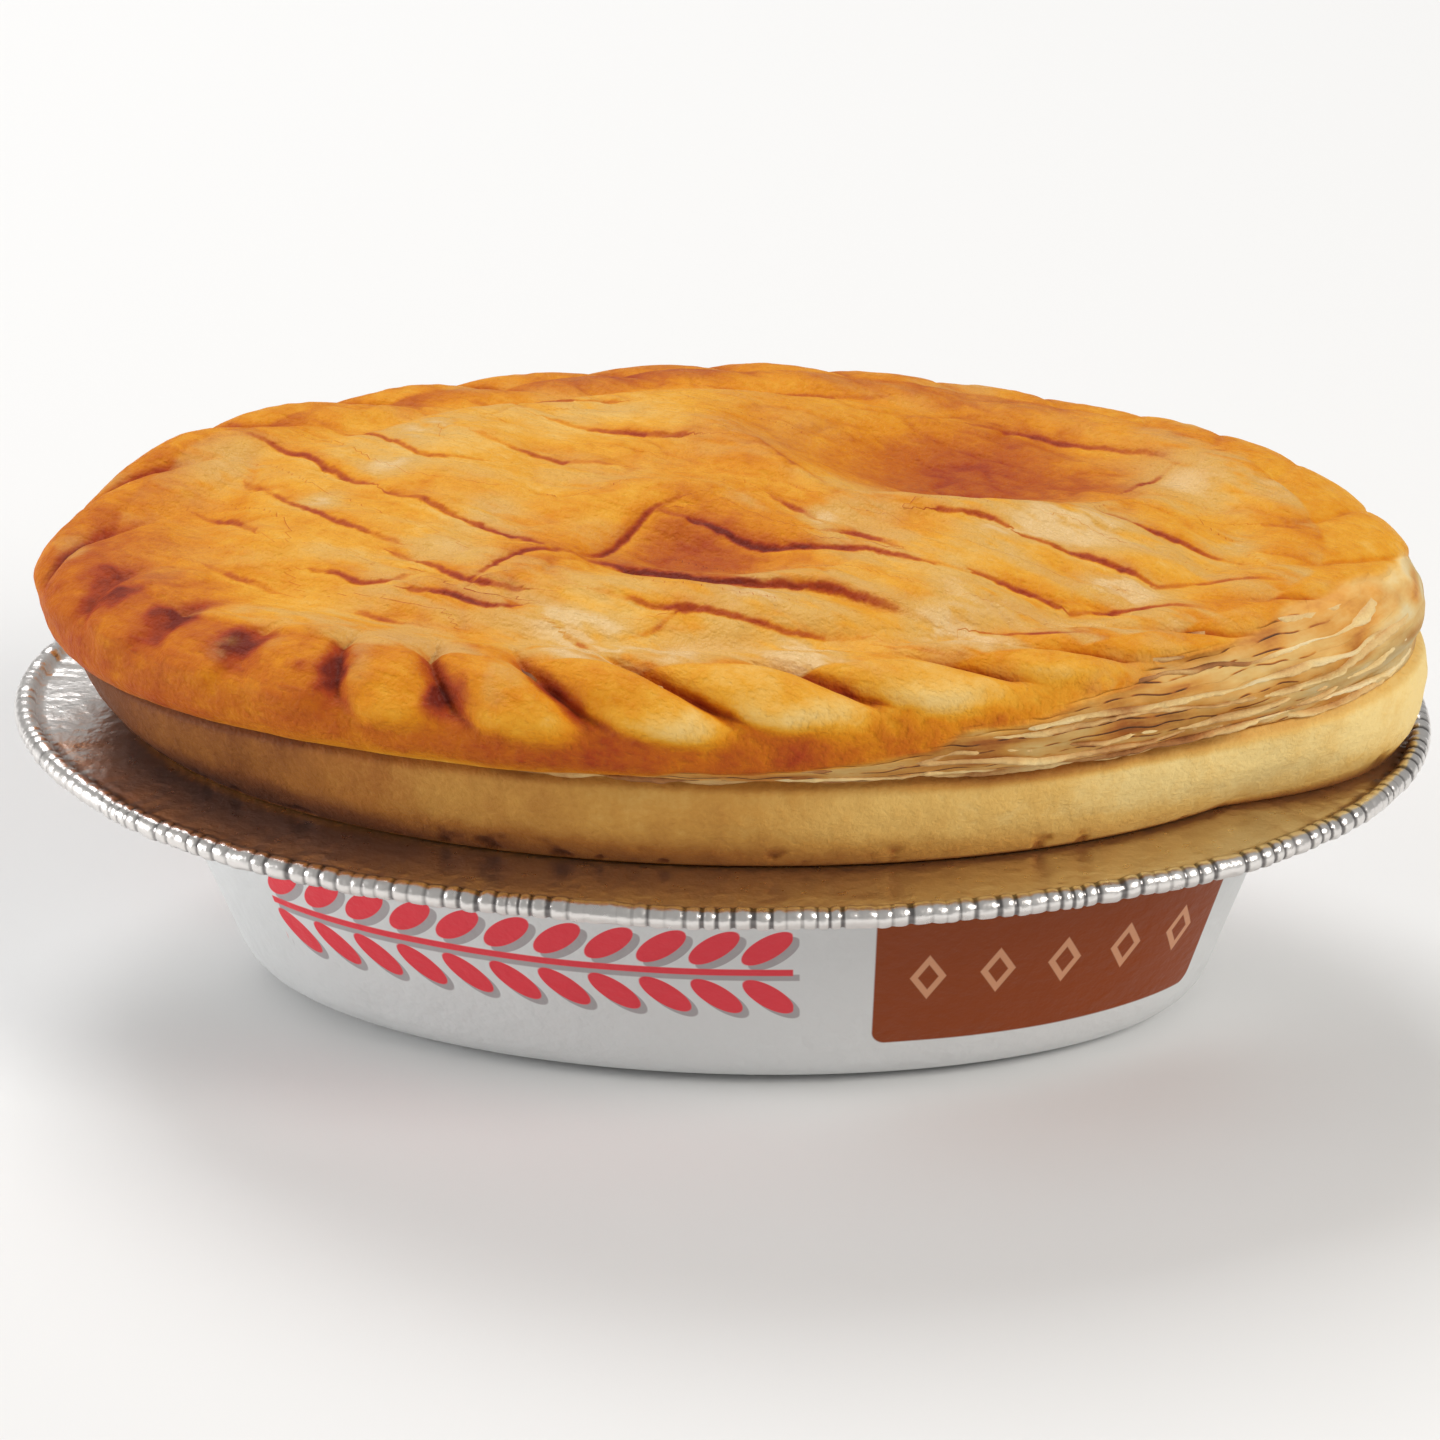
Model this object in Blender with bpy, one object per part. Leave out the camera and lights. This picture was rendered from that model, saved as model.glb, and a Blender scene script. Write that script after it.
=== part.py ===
"""Oval savoury pie in its own foil tin.

Three solids, each resting in or on the one below: a pressed foil tin with a wide flange and a
rolled bead, a short-crust shell with its filling baked solid, and a puff pastry lid whose edge is
crimped by hand like a rope and whose top is slashed with a knife. +X runs along the pie, +Z is up,
and the origin is the middle of the tin's flat base.
"""
import math

import bmesh
import bpy
import numpy as np

for old in list(bpy.data.objects):
    bpy.data.objects.remove(old, do_unlink=True)

MM = 0.001

# Foil tin. The rim's size is over the bead; every other oval keeps a fixed distance from it.
RIM_LENGTH = 150.0 * MM
RIM_WIDTH = 100.0 * MM
RIM_HEIGHT = 32.0 * MM
FLANGE = 13.0 * MM
FOIL = 0.4 * MM
WALL_LEAN = math.radians(20.0)
BASE_CORNER = 7.7 * MM
MOUTH_BEND = 1.6 * MM
BEAD_RADIUS = 1.2 * MM
TIN_COLUMNS = 60
CORNER_STEPS = 4
BEND_STEPS = 3
BEAD_STEPS = 9

# Clearance that neighbouring solids keep.
GAP = 0.3 * MM

# Pastry heights above the base, and how far the pastry stands out past the tin's mouth.
SEAM_HEIGHT = 44.0 * MM
LEFT_SEAM_DROP = 2.8 * MM
CROWN_HEIGHT = 57.5 * MM
SEAM_OVERHANG = 5.6 * MM
LID_OVERHANG = 9.6 * MM
LID_ROUNDING = 7.0 * MM
RIGHT_ROUNDING = 3.5 * MM
BACK_TUCK = 0.5 * MM
RIGHT_PUFF = 6.5 * MM
RIGHT_LID_PUFF = 2.99 * MM
LEFT_SWELL = 0.8 * MM
FLANGE_SPREAD = 9.9 * MM

# Where round the pie each of those swellings is: its centre and its reach, in degrees from the
# right end, against the clock as seen from above.
LEFT_SEAM_DROP_AT = (185.0, 70.0)
LEFT_SWELL_AT = (182.0, 60.0)
RIGHT_PUFF_AT = (-6.0, 45.0)
RIGHT_LID_PUFF_AT = (-7.0, 40.0)
RIGHT_ROUNDING_AT = (2.0, 60.0)
BACK_TUCK_AT = (32.0, 45.0)
FLANGE_SPREAD_AT = (-3.0, 36.0)

# Lower crust's outside, from its foot above the flange to the seam: how far its foot clears the
# tin's lip, how much more at the right end, how far its side bulges, and its rows.
FOOT_CLEARANCE = 0.5 * MM
RIGHT_FOOT_OUT = 1.4 * MM
RIGHT_FOOT_LIFT = 1.6 * MM
SIDE_BULGE = 0.7 * MM
SIDE_FLARE = 0.8
SEAM_ROUNDING = 0.8 * MM
CRUST_COLUMNS = 72
CRUST_PARTS = (0.0, 0.2, 0.42, 0.66, 0.9)

# Lid's side: its widest level above its underside, how far below that level it rounds under, and
# how little it tucks in there. Lid's top: how sharply it falls to its edge, and the trough inside
# the crimps as its depth, its place and its width in parts of the way out.
WIDEST_LEVEL = 3.6 * MM
UNDER_ROUNDING = 4.0 * MM
UNDER_TUCK = 0.3 * MM
EDGE_FALL = 2.4
TROUGH_DEPTH = 1.1 * MM
TROUGH_PART = 0.84
TROUGH_WIDTH = 0.06
RELIEF_MARGIN = 0.2

# Height of the crimped edge at angles round the pie, counted from its right end.
EDGE_HEIGHTS = {0: 53.4, 30: 55.2, 60: 53.6, 90: 54.1, 120: 52.7, 150: 53.0, 180: 49.8,
                210: 51.2, 240: 53.6, 270: 54.8, 300: 55.0, 330: 54.4}

# Hand crimping: how many, and by angle how deep they are, how far they drift from an even
# spacing and how steeply they slant.
CRIMPS = 27
COLUMNS_PER_CRIMP = 6
CRIMP_DEPTH = 2.4 * MM
ROLL_HEIGHT = 0.45
ROLL_FULLNESS = 2.4
CRIMP_STRENGTH = {0: 0.35, 35: 0.25, 80: 0.4, 120: 0.5, 165: 0.55, 195: 0.8, 230: 1.0, 290: 1.0,
                  325: 0.6}
CRIMP_DRIFT = {20: 0.35, 60: 0.0, 90: -0.1, 120: 0.05, 155: 0.35, 200: 0.49, 225: 0.33, 250: 0.0,
               270: -0.05, 290: 0.25, 320: 0.55, 345: 0.6}
CRIMP_SLANT = {0: 0.9, 60: 1.0, 120: 1.0, 180: 1.0, 240: 1.0, 265: 1.5, 300: 1.7, 330: 1.4}

# Rounding of the lid's side, row by row: -65 degrees is at the seam and 90 at the crest. How deep
# the crimps are over those turns, and over the rows of the top next to the crest.
SIDE_TURNS = (-65.0, -54.0, -43.0, -32.0, -21.0, -10.0, 1.0, 12.0, 24.0, 37.0, 51.0, 65.0, 78.0, 90.0)
CRIMP_FADE = ((-50.0, -20.0, 25.0, 70.0, 90.0), (0.0, 0.45, 1.0, 1.0, 0.7))
RIM_PARTS = ((0.95, 0.75), (0.89, 0.3))
TOP_PARTS = (0.8, 0.69, 0.57, 0.45, 0.33, 0.21, 0.1)

# Puff pastry leaves that open at the lid's front right side: every other row stands out, by this
# depth, round this centre and reach in degrees, and over these turns of the side.
LEAF_DEPTH = 0.7 * MM
LEAVES_AT = (325.0, 62.0)
LEAF_FADE = ((-65.0, -50.0, 25.0, 55.0), (0.0, 1.0, 1.0, 0.0))
LEAF_HIDDEN = 0.75

# Forms on the lid's top: centre x and y, half length, half width, turn, and height (mm, degrees).
LID_FORMS = (
    (26.0, 13.5, 18.0, 11.5, -8.0, -4.0),
    (27.0, -2.5, 17.0, 3.0, 2.0, 1.1),
    (3.0, 10.0, 12.0, 4.5, -48.0, 1.4),
    (-1.0, -14.5, 11.0, 5.0, -12.0, -1.9),
    (3.0, -26.0, 19.0, 3.6, -12.0, 1.0),
    (-6.0, -2.0, 9.0, 4.0, 10.0, 1.2),
)

# Knife slashes: all at one angle, each as its place across, its start and its end along (mm).
SLASH_ANGLE = math.radians(-35.0)
SLASH_WIDTH = 1.3 * MM
SLASH_DEPTH = 1.1 * MM
SLASHES = (
    (-35.0, -43.0, -35.0), (-35.2, -23.5, -16.5), (-26.0, -46.0, -23.0), (-27.6, -19.5, -8.5),
    (-19.0, 3.0, 25.0), (-16.8, -57.0, -38.5), (-17.2, -31.5, -11.5), (-7.0, -45.0, -34.0),
    (-7.4, -28.0, -10.0), (5.8, 13.0, 28.5), (6.8, 30.5, 41.0), (4.5, -36.0, -18.0),
    (4.0, 1.0, 10.0), (16.0, 16.0, 23.0), (16.6, 29.5, 46.0), (13.5, -24.0, -6.0),
    (25.6, 32.0, 47.0), (27.0, -14.0, 2.0),
)

# Colour, roughness and metallic of each piece.
FOIL_LOOK = ((0.72, 0.71, 0.70), 0.3, 0.9)
SHORT_CRUST_LOOK = ((0.60, 0.34, 0.10), 0.6, 0.0)
PUFF_PASTRY_LOOK = ((0.71, 0.36, 0.08), 0.42, 0.0)
SHARP_EDGE = math.radians(50.0)

MOUTH_A = RIM_LENGTH / 2 - FLANGE
MOUTH_B = RIM_WIDTH / 2 - FLANGE


def periodic(table, degrees, scale=1.0):
    """Smooth value at an angle, from a table of values at a few angles round the pie."""
    knots = np.array(sorted(table), dtype=float)
    values = np.array([table[int(k)] for k in knots]) * scale
    knots = np.concatenate((knots[-1:] - 360.0, knots, knots[:1] + 360.0))
    values = np.concatenate((values[-1:], values, values[:1]))
    degrees = np.mod(degrees - knots[0], 360.0) + knots[0]
    place = np.clip(np.searchsorted(knots, degrees, side="right") - 1, 0, len(knots) - 2)
    part = (degrees - knots[place]) / (knots[place + 1] - knots[place])
    ease = part * part * (3.0 - 2.0 * part)
    return values[place] * (1.0 - ease) + values[place + 1] * ease


def bump(degrees, place):
    """Rounded hump round the pie: 1 at the centre of the place, 0 at its reach."""
    centre, reach = place
    away = np.abs(np.mod(degrees - centre + 180.0, 360.0) - 180.0)
    return 0.5 + 0.5 * np.cos(np.pi * np.minimum(away / reach, 1.0))


def oval(degrees, offset):
    """Points on the oval that stands offset outside the tin's mouth."""
    turn = np.radians(degrees)
    normal = np.stack((np.cos(turn) / MOUTH_A, np.sin(turn) / MOUTH_B), axis=-1)
    normal /= np.linalg.norm(normal, axis=-1, keepdims=True)
    mouth = np.stack((MOUTH_A * np.cos(turn), MOUTH_B * np.sin(turn)), axis=-1)
    return mouth + normal * np.asarray(offset)[..., None]


def even_angles(share, offset):
    """Angles of points at given shares of an oval's length."""
    dense = np.linspace(0.0, 360.0, 1441)
    steps = np.linalg.norm(np.diff(oval(dense, np.full(dense.shape, offset)), axis=0), axis=1)
    length = np.concatenate(([0.0], np.cumsum(steps)))
    turns = np.floor(share)
    return np.interp(share - turns, length / length[-1], dense) + 360.0 * turns


def ring(degrees, offset, height):
    """One closed row of points of a skin."""
    plan = oval(degrees, np.broadcast_to(offset, degrees.shape))
    return np.column_stack((plan, np.broadcast_to(height, degrees.shape)))


def surface(name, look):
    """Principled material of one piece."""
    colour, roughness, metallic = look
    material = bpy.data.materials.new(name)
    material.use_nodes = True
    shader = material.node_tree.nodes["Principled BSDF"]
    shader.inputs["Base Color"].default_value = (*colour, 1.0)
    shader.inputs["Roughness"].default_value = roughness
    shader.inputs["Metallic"].default_value = metallic
    return material


def skin(name, rows, look):
    """Closed mesh over rows of points. A row of one point is a pole, and a row may halve."""
    mesh_data = bmesh.new()
    loops = [[mesh_data.verts.new(point) for point in row] for row in rows]
    for lower, upper in zip(loops, loops[1:]):
        count = max(len(lower), len(upper))
        for step in range(count):
            a, b = lower[step % len(lower)], lower[(step + 1) % len(lower)]
            c, d = upper[(step + 1) % len(upper)], upper[step % len(upper)]
            if len(upper) == 1:
                mesh_data.faces.new((a, b, c))
            elif len(lower) == 1:
                mesh_data.faces.new((a, c, d))
            elif len(upper) * 2 == len(lower):
                if step % 2 == 0:
                    c, d = upper[(step // 2 + 1) % len(upper)], upper[step // 2]
                    middle, last = b, lower[(step + 2) % len(lower)]
                    mesh_data.faces.new((a, middle, d))
                    mesh_data.faces.new((middle, last, c))
                    mesh_data.faces.new((middle, c, d))
            else:
                mesh_data.faces.new((a, b, c, d))
    bmesh.ops.recalc_face_normals(mesh_data, faces=mesh_data.faces)
    mesh = bpy.data.meshes.new(name)
    mesh_data.to_mesh(mesh)
    mesh_data.free()
    mesh.shade_smooth()
    mesh.set_sharp_from_angle(angle=SHARP_EDGE)
    mesh.materials.append(surface(name, look))
    piece = bpy.data.objects.new(name, mesh)
    bpy.context.scene.collection.objects.link(piece)
    return piece


def arc(centre, radius, start, end, steps):
    """Points of an arc in the offset and height plane, angles in degrees."""
    angles = np.radians(np.linspace(start, end, steps + 1))
    return [(centre[0] + radius * math.cos(a), centre[1] + radius * math.sin(a)) for a in angles]


def tin_side(inset):
    """Tin section from the flat base to the flange, a distance inside the foil's under face."""
    lean = math.degrees(WALL_LEAN)
    half_turn = math.tan(math.radians(90.0 - lean) / 2.0)
    foot = -RIM_HEIGHT * math.tan(WALL_LEAN)
    corner = (foot - BASE_CORNER * half_turn, BASE_CORNER)
    bend = (MOUTH_BEND * half_turn, RIM_HEIGHT - FOIL / 2 - MOUTH_BEND)
    lower = arc(corner, BASE_CORNER - inset, -90.0, -lean, CORNER_STEPS)
    upper = arc(bend, MOUTH_BEND + inset, 180.0 - lean, 90.0, BEND_STEPS)
    return lower + upper


def foil_tin():
    """Pressed foil dish: one thin closed shell with a flange and a bead rolled at its edge."""
    degrees = even_angles(np.arange(TIN_COLUMNS) / TIN_COLUMNS, 0.0)
    bead = (FLANGE - BEAD_RADIUS, RIM_HEIGHT)
    meets = math.degrees(math.asin(FOIL / 2 / BEAD_RADIUS))
    roll = arc(bead, BEAD_RADIUS, 180.0 + meets, 540.0 - meets, BEAD_STEPS)
    section = tin_side(0.0) + roll + tin_side(FOIL)[::-1]
    rows = [np.zeros((1, 3))]
    rows += [ring(degrees, offset, height) for offset, height in section]
    rows.append(np.array([[0.0, 0.0, FOIL]]))
    return skin("foil_tin", rows, FOIL_LOOK)


def seam_height(degrees):
    """Height where the lid meets the lower crust."""
    return SEAM_HEIGHT - LEFT_SEAM_DROP * bump(degrees, LEFT_SEAM_DROP_AT)


def seam_offset(degrees):
    """How far that seam stands out past the tin's mouth."""
    return (SEAM_OVERHANG + RIGHT_PUFF * bump(degrees, RIGHT_PUFF_AT)
            + LEFT_SWELL * bump(degrees, LEFT_SWELL_AT))


def lid_offset(degrees):
    """How far the lid's side stands out at its widest."""
    return (LID_OVERHANG + RIGHT_LID_PUFF * bump(degrees, RIGHT_LID_PUFF_AT)
            - BACK_TUCK * bump(degrees, BACK_TUCK_AT))


def lid_crest(degrees):
    """How far the crest of the lid's edge stands out, where its side has rounded into its top."""
    return lid_offset(degrees) - LID_ROUNDING - RIGHT_ROUNDING * bump(degrees, RIGHT_ROUNDING_AT)


def lower_crust():
    """Short-crust shell and filling, baked solid: fills the tin and swells over its flange."""
    degrees = even_angles(np.arange(CRUST_COLUMNS) / CRUST_COLUMNS, 0.0)
    inside = tin_side(FOIL + GAP)
    right_end = bump(degrees, FLANGE_SPREAD_AT)
    spread = FLANGE_SPREAD * right_end
    lip_height = RIM_HEIGHT + FOIL / 2 + GAP
    seam_z = seam_height(degrees) - GAP / 2
    seam_r = seam_offset(degrees)
    rows = [np.array([[0.0, 0.0, FOIL + GAP]])]
    rows += [ring(degrees, offset, height) for offset, height in inside[:-1]]
    lip = inside[-1][0]
    rows.append(ring(degrees, np.maximum(lip, spread), lip_height))
    foot_r = np.maximum(lip + FOOT_CLEARANCE, spread + RIGHT_FOOT_OUT * right_end)
    foot_z = lip_height + FOOT_CLEARANCE + RIGHT_FOOT_LIFT * right_end
    for part in CRUST_PARTS:
        side = foot_r + (seam_r - foot_r) * part ** SIDE_FLARE + SIDE_BULGE * math.sin(math.pi * part)
        rows.append(ring(degrees, side, foot_z + (seam_z - foot_z) * part))
    rows.append(ring(degrees, seam_r - SEAM_ROUNDING, seam_z))
    rows.append(np.array([[0.0, 0.0, SEAM_HEIGHT - GAP / 2]]))
    return skin("lower_crust", rows, SHORT_CRUST_LOOK)


def lid_relief(x, y):
    """Height added to the lid's top by its hollow, its ridges and its folds."""
    rise = np.zeros(np.shape(x))
    for cx, cy, long, wide, turn, height in LID_FORMS:
        c, s = math.cos(math.radians(turn)), math.sin(math.radians(turn))
        u = ((x - cx * MM) * c + (y - cy * MM) * s) / (long * MM)
        v = ((y - cy * MM) * c - (x - cx * MM) * s) / (wide * MM)
        rise = rise + height * MM * np.exp(-(u * u + v * v) ** 1.5)
    return rise


def lid_top(degrees, part):
    """Top of the lid, part of the way from its middle to the crest of its crimped edge."""
    plan = oval(degrees, lid_crest(degrees)) * part
    edge = periodic(EDGE_HEIGHTS, degrees, MM)
    blend = part ** EDGE_FALL
    height = CROWN_HEIGHT * (1.0 - blend) + edge * blend
    height = height - TROUGH_DEPTH * np.exp(-((part - TROUGH_PART) / TROUGH_WIDTH) ** 2)
    height = height + lid_relief(plan[:, 0], plan[:, 1]) * np.clip((1.0 - part) / RELIEF_MARGIN, 0.0, 1.0)
    return np.column_stack((plan, height))


def crimp(share):
    """Crimp's cross-section: a plump roll between two pinched grooves."""
    away = np.abs(2.0 * np.mod(share, 1.0) - 1.0)
    return ROLL_HEIGHT - away ** ROLL_FULLNESS


def even_pitch():
    """Length of pastry edge that one crimp takes."""
    dense = oval(np.linspace(0.0, 360.0, 721), np.full(721, LID_OVERHANG / 2))
    return float(np.linalg.norm(np.diff(dense, axis=0), axis=1).sum()) / CRIMPS


def lid_edge(share, turn, row):
    """Row of the lid's side, at a turn of its rounding."""
    turn_rad = math.radians(turn)
    path = LID_ROUNDING * (math.radians(90.0) - turn_rad)
    degrees = even_angles(share, LID_OVERHANG / 2)
    slant = periodic(CRIMP_SLANT, degrees) * path / even_pitch()
    drift = periodic(CRIMP_DRIFT, degrees)
    columns = even_angles(share + (slant + drift) / CRIMPS, LID_OVERHANG / 2)
    edge = periodic(EDGE_HEIGHTS, columns, MM)
    middle = seam_height(columns) + GAP / 2 + WIDEST_LEVEL
    rise = np.where(turn_rad > 0.0, edge - middle, UNDER_ROUNDING) * math.sin(turn_rad)
    crest = lid_crest(columns)
    offset = crest + (lid_offset(columns) - crest) * math.cos(turn_rad)
    if turn < 0.0:
        offset = np.maximum(offset, seam_offset(columns) - UNDER_TUCK)
    height = middle + rise
    strength = np.interp(turn, *CRIMP_FADE) * periodic(CRIMP_STRENGTH, columns)
    leaves = bump(columns, LEAVES_AT) * np.interp(turn, *LEAF_FADE)
    roll = CRIMP_DEPTH * crimp(share * CRIMPS) * strength * (1.0 - LEAF_HIDDEN * leaves)
    ragged = 0.65 + 0.35 * np.sin(np.radians(columns) * 9.0 + 2.4 * row)
    leaf = LEAF_DEPTH * leaves * ragged * (-1.0) ** (row + 1)
    offset = offset + roll * max(math.cos(turn_rad), 0.25) + leaf
    height = height + roll * max(math.sin(turn_rad), 0.0)
    return ring(columns, offset, height)


def lid():
    """Puff pastry lid: a flat underside, a crimped side and a domed, creased top."""
    share = np.arange(CRIMPS * COLUMNS_PER_CRIMP) / (CRIMPS * COLUMNS_PER_CRIMP)
    rows = [np.array([[0.0, 0.0, SEAM_HEIGHT + GAP / 2]])]
    rows += [lid_edge(share, turn, row) for row, turn in enumerate(SIDE_TURNS)]
    rows[1][:, 2] = np.minimum(rows[1][:, 2], rows[2][:, 2] - 0.5 * MM)
    crest = even_angles(share, LID_OVERHANG / 2)
    drift = periodic(CRIMP_DRIFT, crest)
    inner = even_angles(share + drift / CRIMPS, LID_OVERHANG / 2)
    roll = CRIMP_DEPTH * crimp(share * CRIMPS) * periodic(CRIMP_STRENGTH, inner)
    for part, fade in RIM_PARTS:
        row = lid_top(inner, part)
        row[:, 2] += roll * fade
        rows.append(row)
    for part in TOP_PARTS:
        rows.append(lid_top(inner[::2], part))
    rows.append(lid_top(np.zeros(1), 0.0))
    return skin("lid", rows, PUFF_PASTRY_LOOK)


def lid_height(x, y):
    """Height of the lid's top at a place inside its crimped edge."""
    degrees = np.degrees(np.arctan2(y / MOUTH_B, x / MOUTH_A))
    crest = oval(degrees, lid_crest(degrees))
    part = math.hypot(x, y) / max(float(np.hypot(*crest)), MM)
    return float(lid_top(np.array([degrees]), min(part, 1.0))[0, 2])


def slash_cutters():
    """One wedge for each knife slash, pointed at both ends and sunk into the lid's top."""
    along = (math.cos(SLASH_ANGLE), math.sin(SLASH_ANGLE))
    across = (-along[1], along[0])
    mesh_data = bmesh.new()
    for place, start, end in SLASHES:
        top, bottom = [], []
        for distance, reach in ((start, 0.0), ((start + end) / 2, 1.0), (end, 0.0)):
            x = (along[0] * distance + across[0] * place) * MM
            y = (along[1] * distance + across[1] * place) * MM
            z = lid_height(x, y)
            half = SLASH_WIDTH * (0.35 + 0.65 * reach)
            bottom.append(mesh_data.verts.new((x, y, z - SLASH_DEPTH * (0.3 + 0.7 * reach))))
            top.append([mesh_data.verts.new((x + side * half * across[0], y + side * half * across[1],
                                             z + SLASH_DEPTH)) for side in (-1.0, 1.0)])
        for near, far in ((0, 1), (1, 2)):
            mesh_data.faces.new((top[near][0], top[far][0], bottom[far], bottom[near]))
            mesh_data.faces.new((top[near][1], bottom[near], bottom[far], top[far][1]))
            mesh_data.faces.new((top[near][0], top[near][1], top[far][1], top[far][0]))
        mesh_data.faces.new((top[0][0], bottom[0], top[0][1]))
        mesh_data.faces.new((top[2][0], top[2][1], bottom[2]))
    bmesh.ops.recalc_face_normals(mesh_data, faces=mesh_data.faces)
    mesh = bpy.data.meshes.new("slash_cutters")
    mesh_data.to_mesh(mesh)
    mesh_data.free()
    cutter = bpy.data.objects.new("slash_cutters", mesh)
    bpy.context.scene.collection.objects.link(cutter)
    cutter.hide_render = True
    cutter.display_type = "WIRE"
    return cutter


def cut(piece, cutter):
    """Cut one object out of another."""
    boolean = piece.modifiers.new("slashes", "BOOLEAN")
    boolean.operation = "DIFFERENCE"
    boolean.solver = "EXACT"
    boolean.object = cutter


foil_tin()
lower_crust()
cut(lid(), slash_cutters())
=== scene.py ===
import math

import bpy
import numpy as np
from mathutils import Matrix, Vector


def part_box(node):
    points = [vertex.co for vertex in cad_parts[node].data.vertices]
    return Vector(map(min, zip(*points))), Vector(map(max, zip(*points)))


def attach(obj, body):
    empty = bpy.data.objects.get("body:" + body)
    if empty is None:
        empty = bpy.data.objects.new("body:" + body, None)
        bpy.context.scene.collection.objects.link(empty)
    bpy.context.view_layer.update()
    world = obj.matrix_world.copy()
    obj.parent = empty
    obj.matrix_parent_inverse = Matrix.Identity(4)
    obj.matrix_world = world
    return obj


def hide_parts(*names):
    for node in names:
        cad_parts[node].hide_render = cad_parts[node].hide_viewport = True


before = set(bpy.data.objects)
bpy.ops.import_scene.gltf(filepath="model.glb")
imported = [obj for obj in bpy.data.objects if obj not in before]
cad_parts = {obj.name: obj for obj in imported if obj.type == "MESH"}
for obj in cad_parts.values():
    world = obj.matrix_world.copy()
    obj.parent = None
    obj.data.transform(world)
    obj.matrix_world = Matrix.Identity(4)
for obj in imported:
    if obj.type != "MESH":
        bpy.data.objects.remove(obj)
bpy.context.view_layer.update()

# Foil tin: one sheet of aluminium pressed into an oval dish with a wide flange, its edge rolled
# into a bead. Pressing leaves teeth along the bead and creases across the flange. The outside is
# lacquered white and printed with a red ear of grain and an orange panel.
MM = 0.001
tin_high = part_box("foil_tin")[1]
BEAD_RADIUS = 1.2 * MM
FLANGE = 13.0 * MM
FOIL = 0.4 * MM
MOUTH_A = tin_high.x - FLANGE
MOUTH_B = tin_high.y - FLANGE
RIM_HEIGHT = tin_high.z - BEAD_RADIUS
WALL_LEAN = math.radians(20.0)
BASE_CORNER = 7.7 * MM
MOUTH_BEND = 1.6 * MM
TEETH = 236
COLUMNS_PER_TOOTH = 7
TOOTH_DEPTH = 0.22 * MM
TOOTH_SHARPNESS = 3.0
TOOTH_MEAN = 0.75
LEFT_SHALLOW = 0.6
CREASE_DEPTH = 0.22 * MM
CREASE_MEAN = 0.45
FLANGE_WAVE = 0.35 * MM
WALL_DENTS = 0.10 * MM

# How many straight steps make the tin's corner, wall and mouth bend, its bead and its flange.
OUTSIDE_STEPS = (6, 8, 5)
INSIDE_STEPS = (4, 4, 4)
BEAD_STEPS = 14
UNDER_FLANGE_STEPS = 5
OVER_FLANGE_STEPS = 9

# Noise comes in layers, each given by its height, the size of its lumps (mm) and its seed.
TOOTH_DRIFT = ((0.8, 4.0, 1), (0.5, 9.0, 7))
TOOTH_VARIES = (0.8, 2.4, 2)
CREASES = (1.0, 3.6, 3)
FINE_CREASES = (0.5, 1.6, 4)
FLANGE_WAVES = (1.0, 30.0, 5)
DENTS = (1.0, 7.0, 6)


def oval(degrees, offset):
    """Points on the oval that stands offset outside the tin's mouth."""
    turn = np.radians(degrees)
    normal = np.stack((np.cos(turn) / MOUTH_A, np.sin(turn) / MOUTH_B), axis=-1)
    normal /= np.linalg.norm(normal, axis=-1, keepdims=True)
    mouth = np.stack((MOUTH_A * np.cos(turn), MOUTH_B * np.sin(turn)), axis=-1)
    return mouth + normal * np.asarray(offset)[..., None]


def oval_length(offset):
    """Angles round an oval, and the length of its edge up to each of them."""
    dense = np.linspace(0.0, 360.0, 2881)
    steps = np.linalg.norm(np.diff(oval(dense, np.full(dense.shape, offset)), axis=0), axis=1)
    return dense, np.concatenate(([0.0], np.cumsum(steps)))


def even_angles(share, offset):
    """Angles of points at given shares of an oval's length."""
    dense, length = oval_length(offset)
    turns = np.floor(share)
    return np.interp(share - turns, length / length[-1], dense) + 360.0 * turns


def ring(degrees, offset, height):
    """One closed row of points of a skin."""
    plan = oval(degrees, np.broadcast_to(offset, degrees.shape))
    return np.column_stack((plan, np.broadcast_to(height, degrees.shape)))


def arc(centre, radius, start, end, steps):
    """Points of an arc in the offset and height plane, angles in degrees."""
    angles = np.radians(np.linspace(start, end, steps + 1))
    return [(centre[0] + radius * math.cos(a), centre[1] + radius * math.sin(a)) for a in angles]


def grain(points, size, seed):
    """Smooth noise from -1 to 1 over points, with lumps of about the given size."""
    cell = np.asarray(points, dtype=float) / size + seed * 7.31
    base = np.floor(cell).astype(np.int64)
    part = cell - base
    part = part * part * (3.0 - 2.0 * part)
    total = np.zeros(len(cell))
    for corner in np.ndindex(2, 2, 2):
        key = (base + corner) @ np.array((73856093, 19349663, 83492791))
        key = (key ^ (key >> 13)) * 1274126177
        value = ((key ^ (key >> 16)) & 0xFFFF) / 32767.5 - 1.0
        total += value * np.prod(np.where(np.array(corner) == 1, part, 1.0 - part), axis=1)
    return total


def lumps(points, *layers):
    """Sum of layers of noise over points."""
    return sum(high * grain(points, size * MM, seed) for high, size, seed in layers)


def smooth(value, low, high):
    """0 below low, 1 above high, eased between them."""
    part = np.clip((np.asarray(value, dtype=float) - low) / (high - low), 0.0, 1.0)
    return part * part * (3.0 - 2.0 * part)


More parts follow.
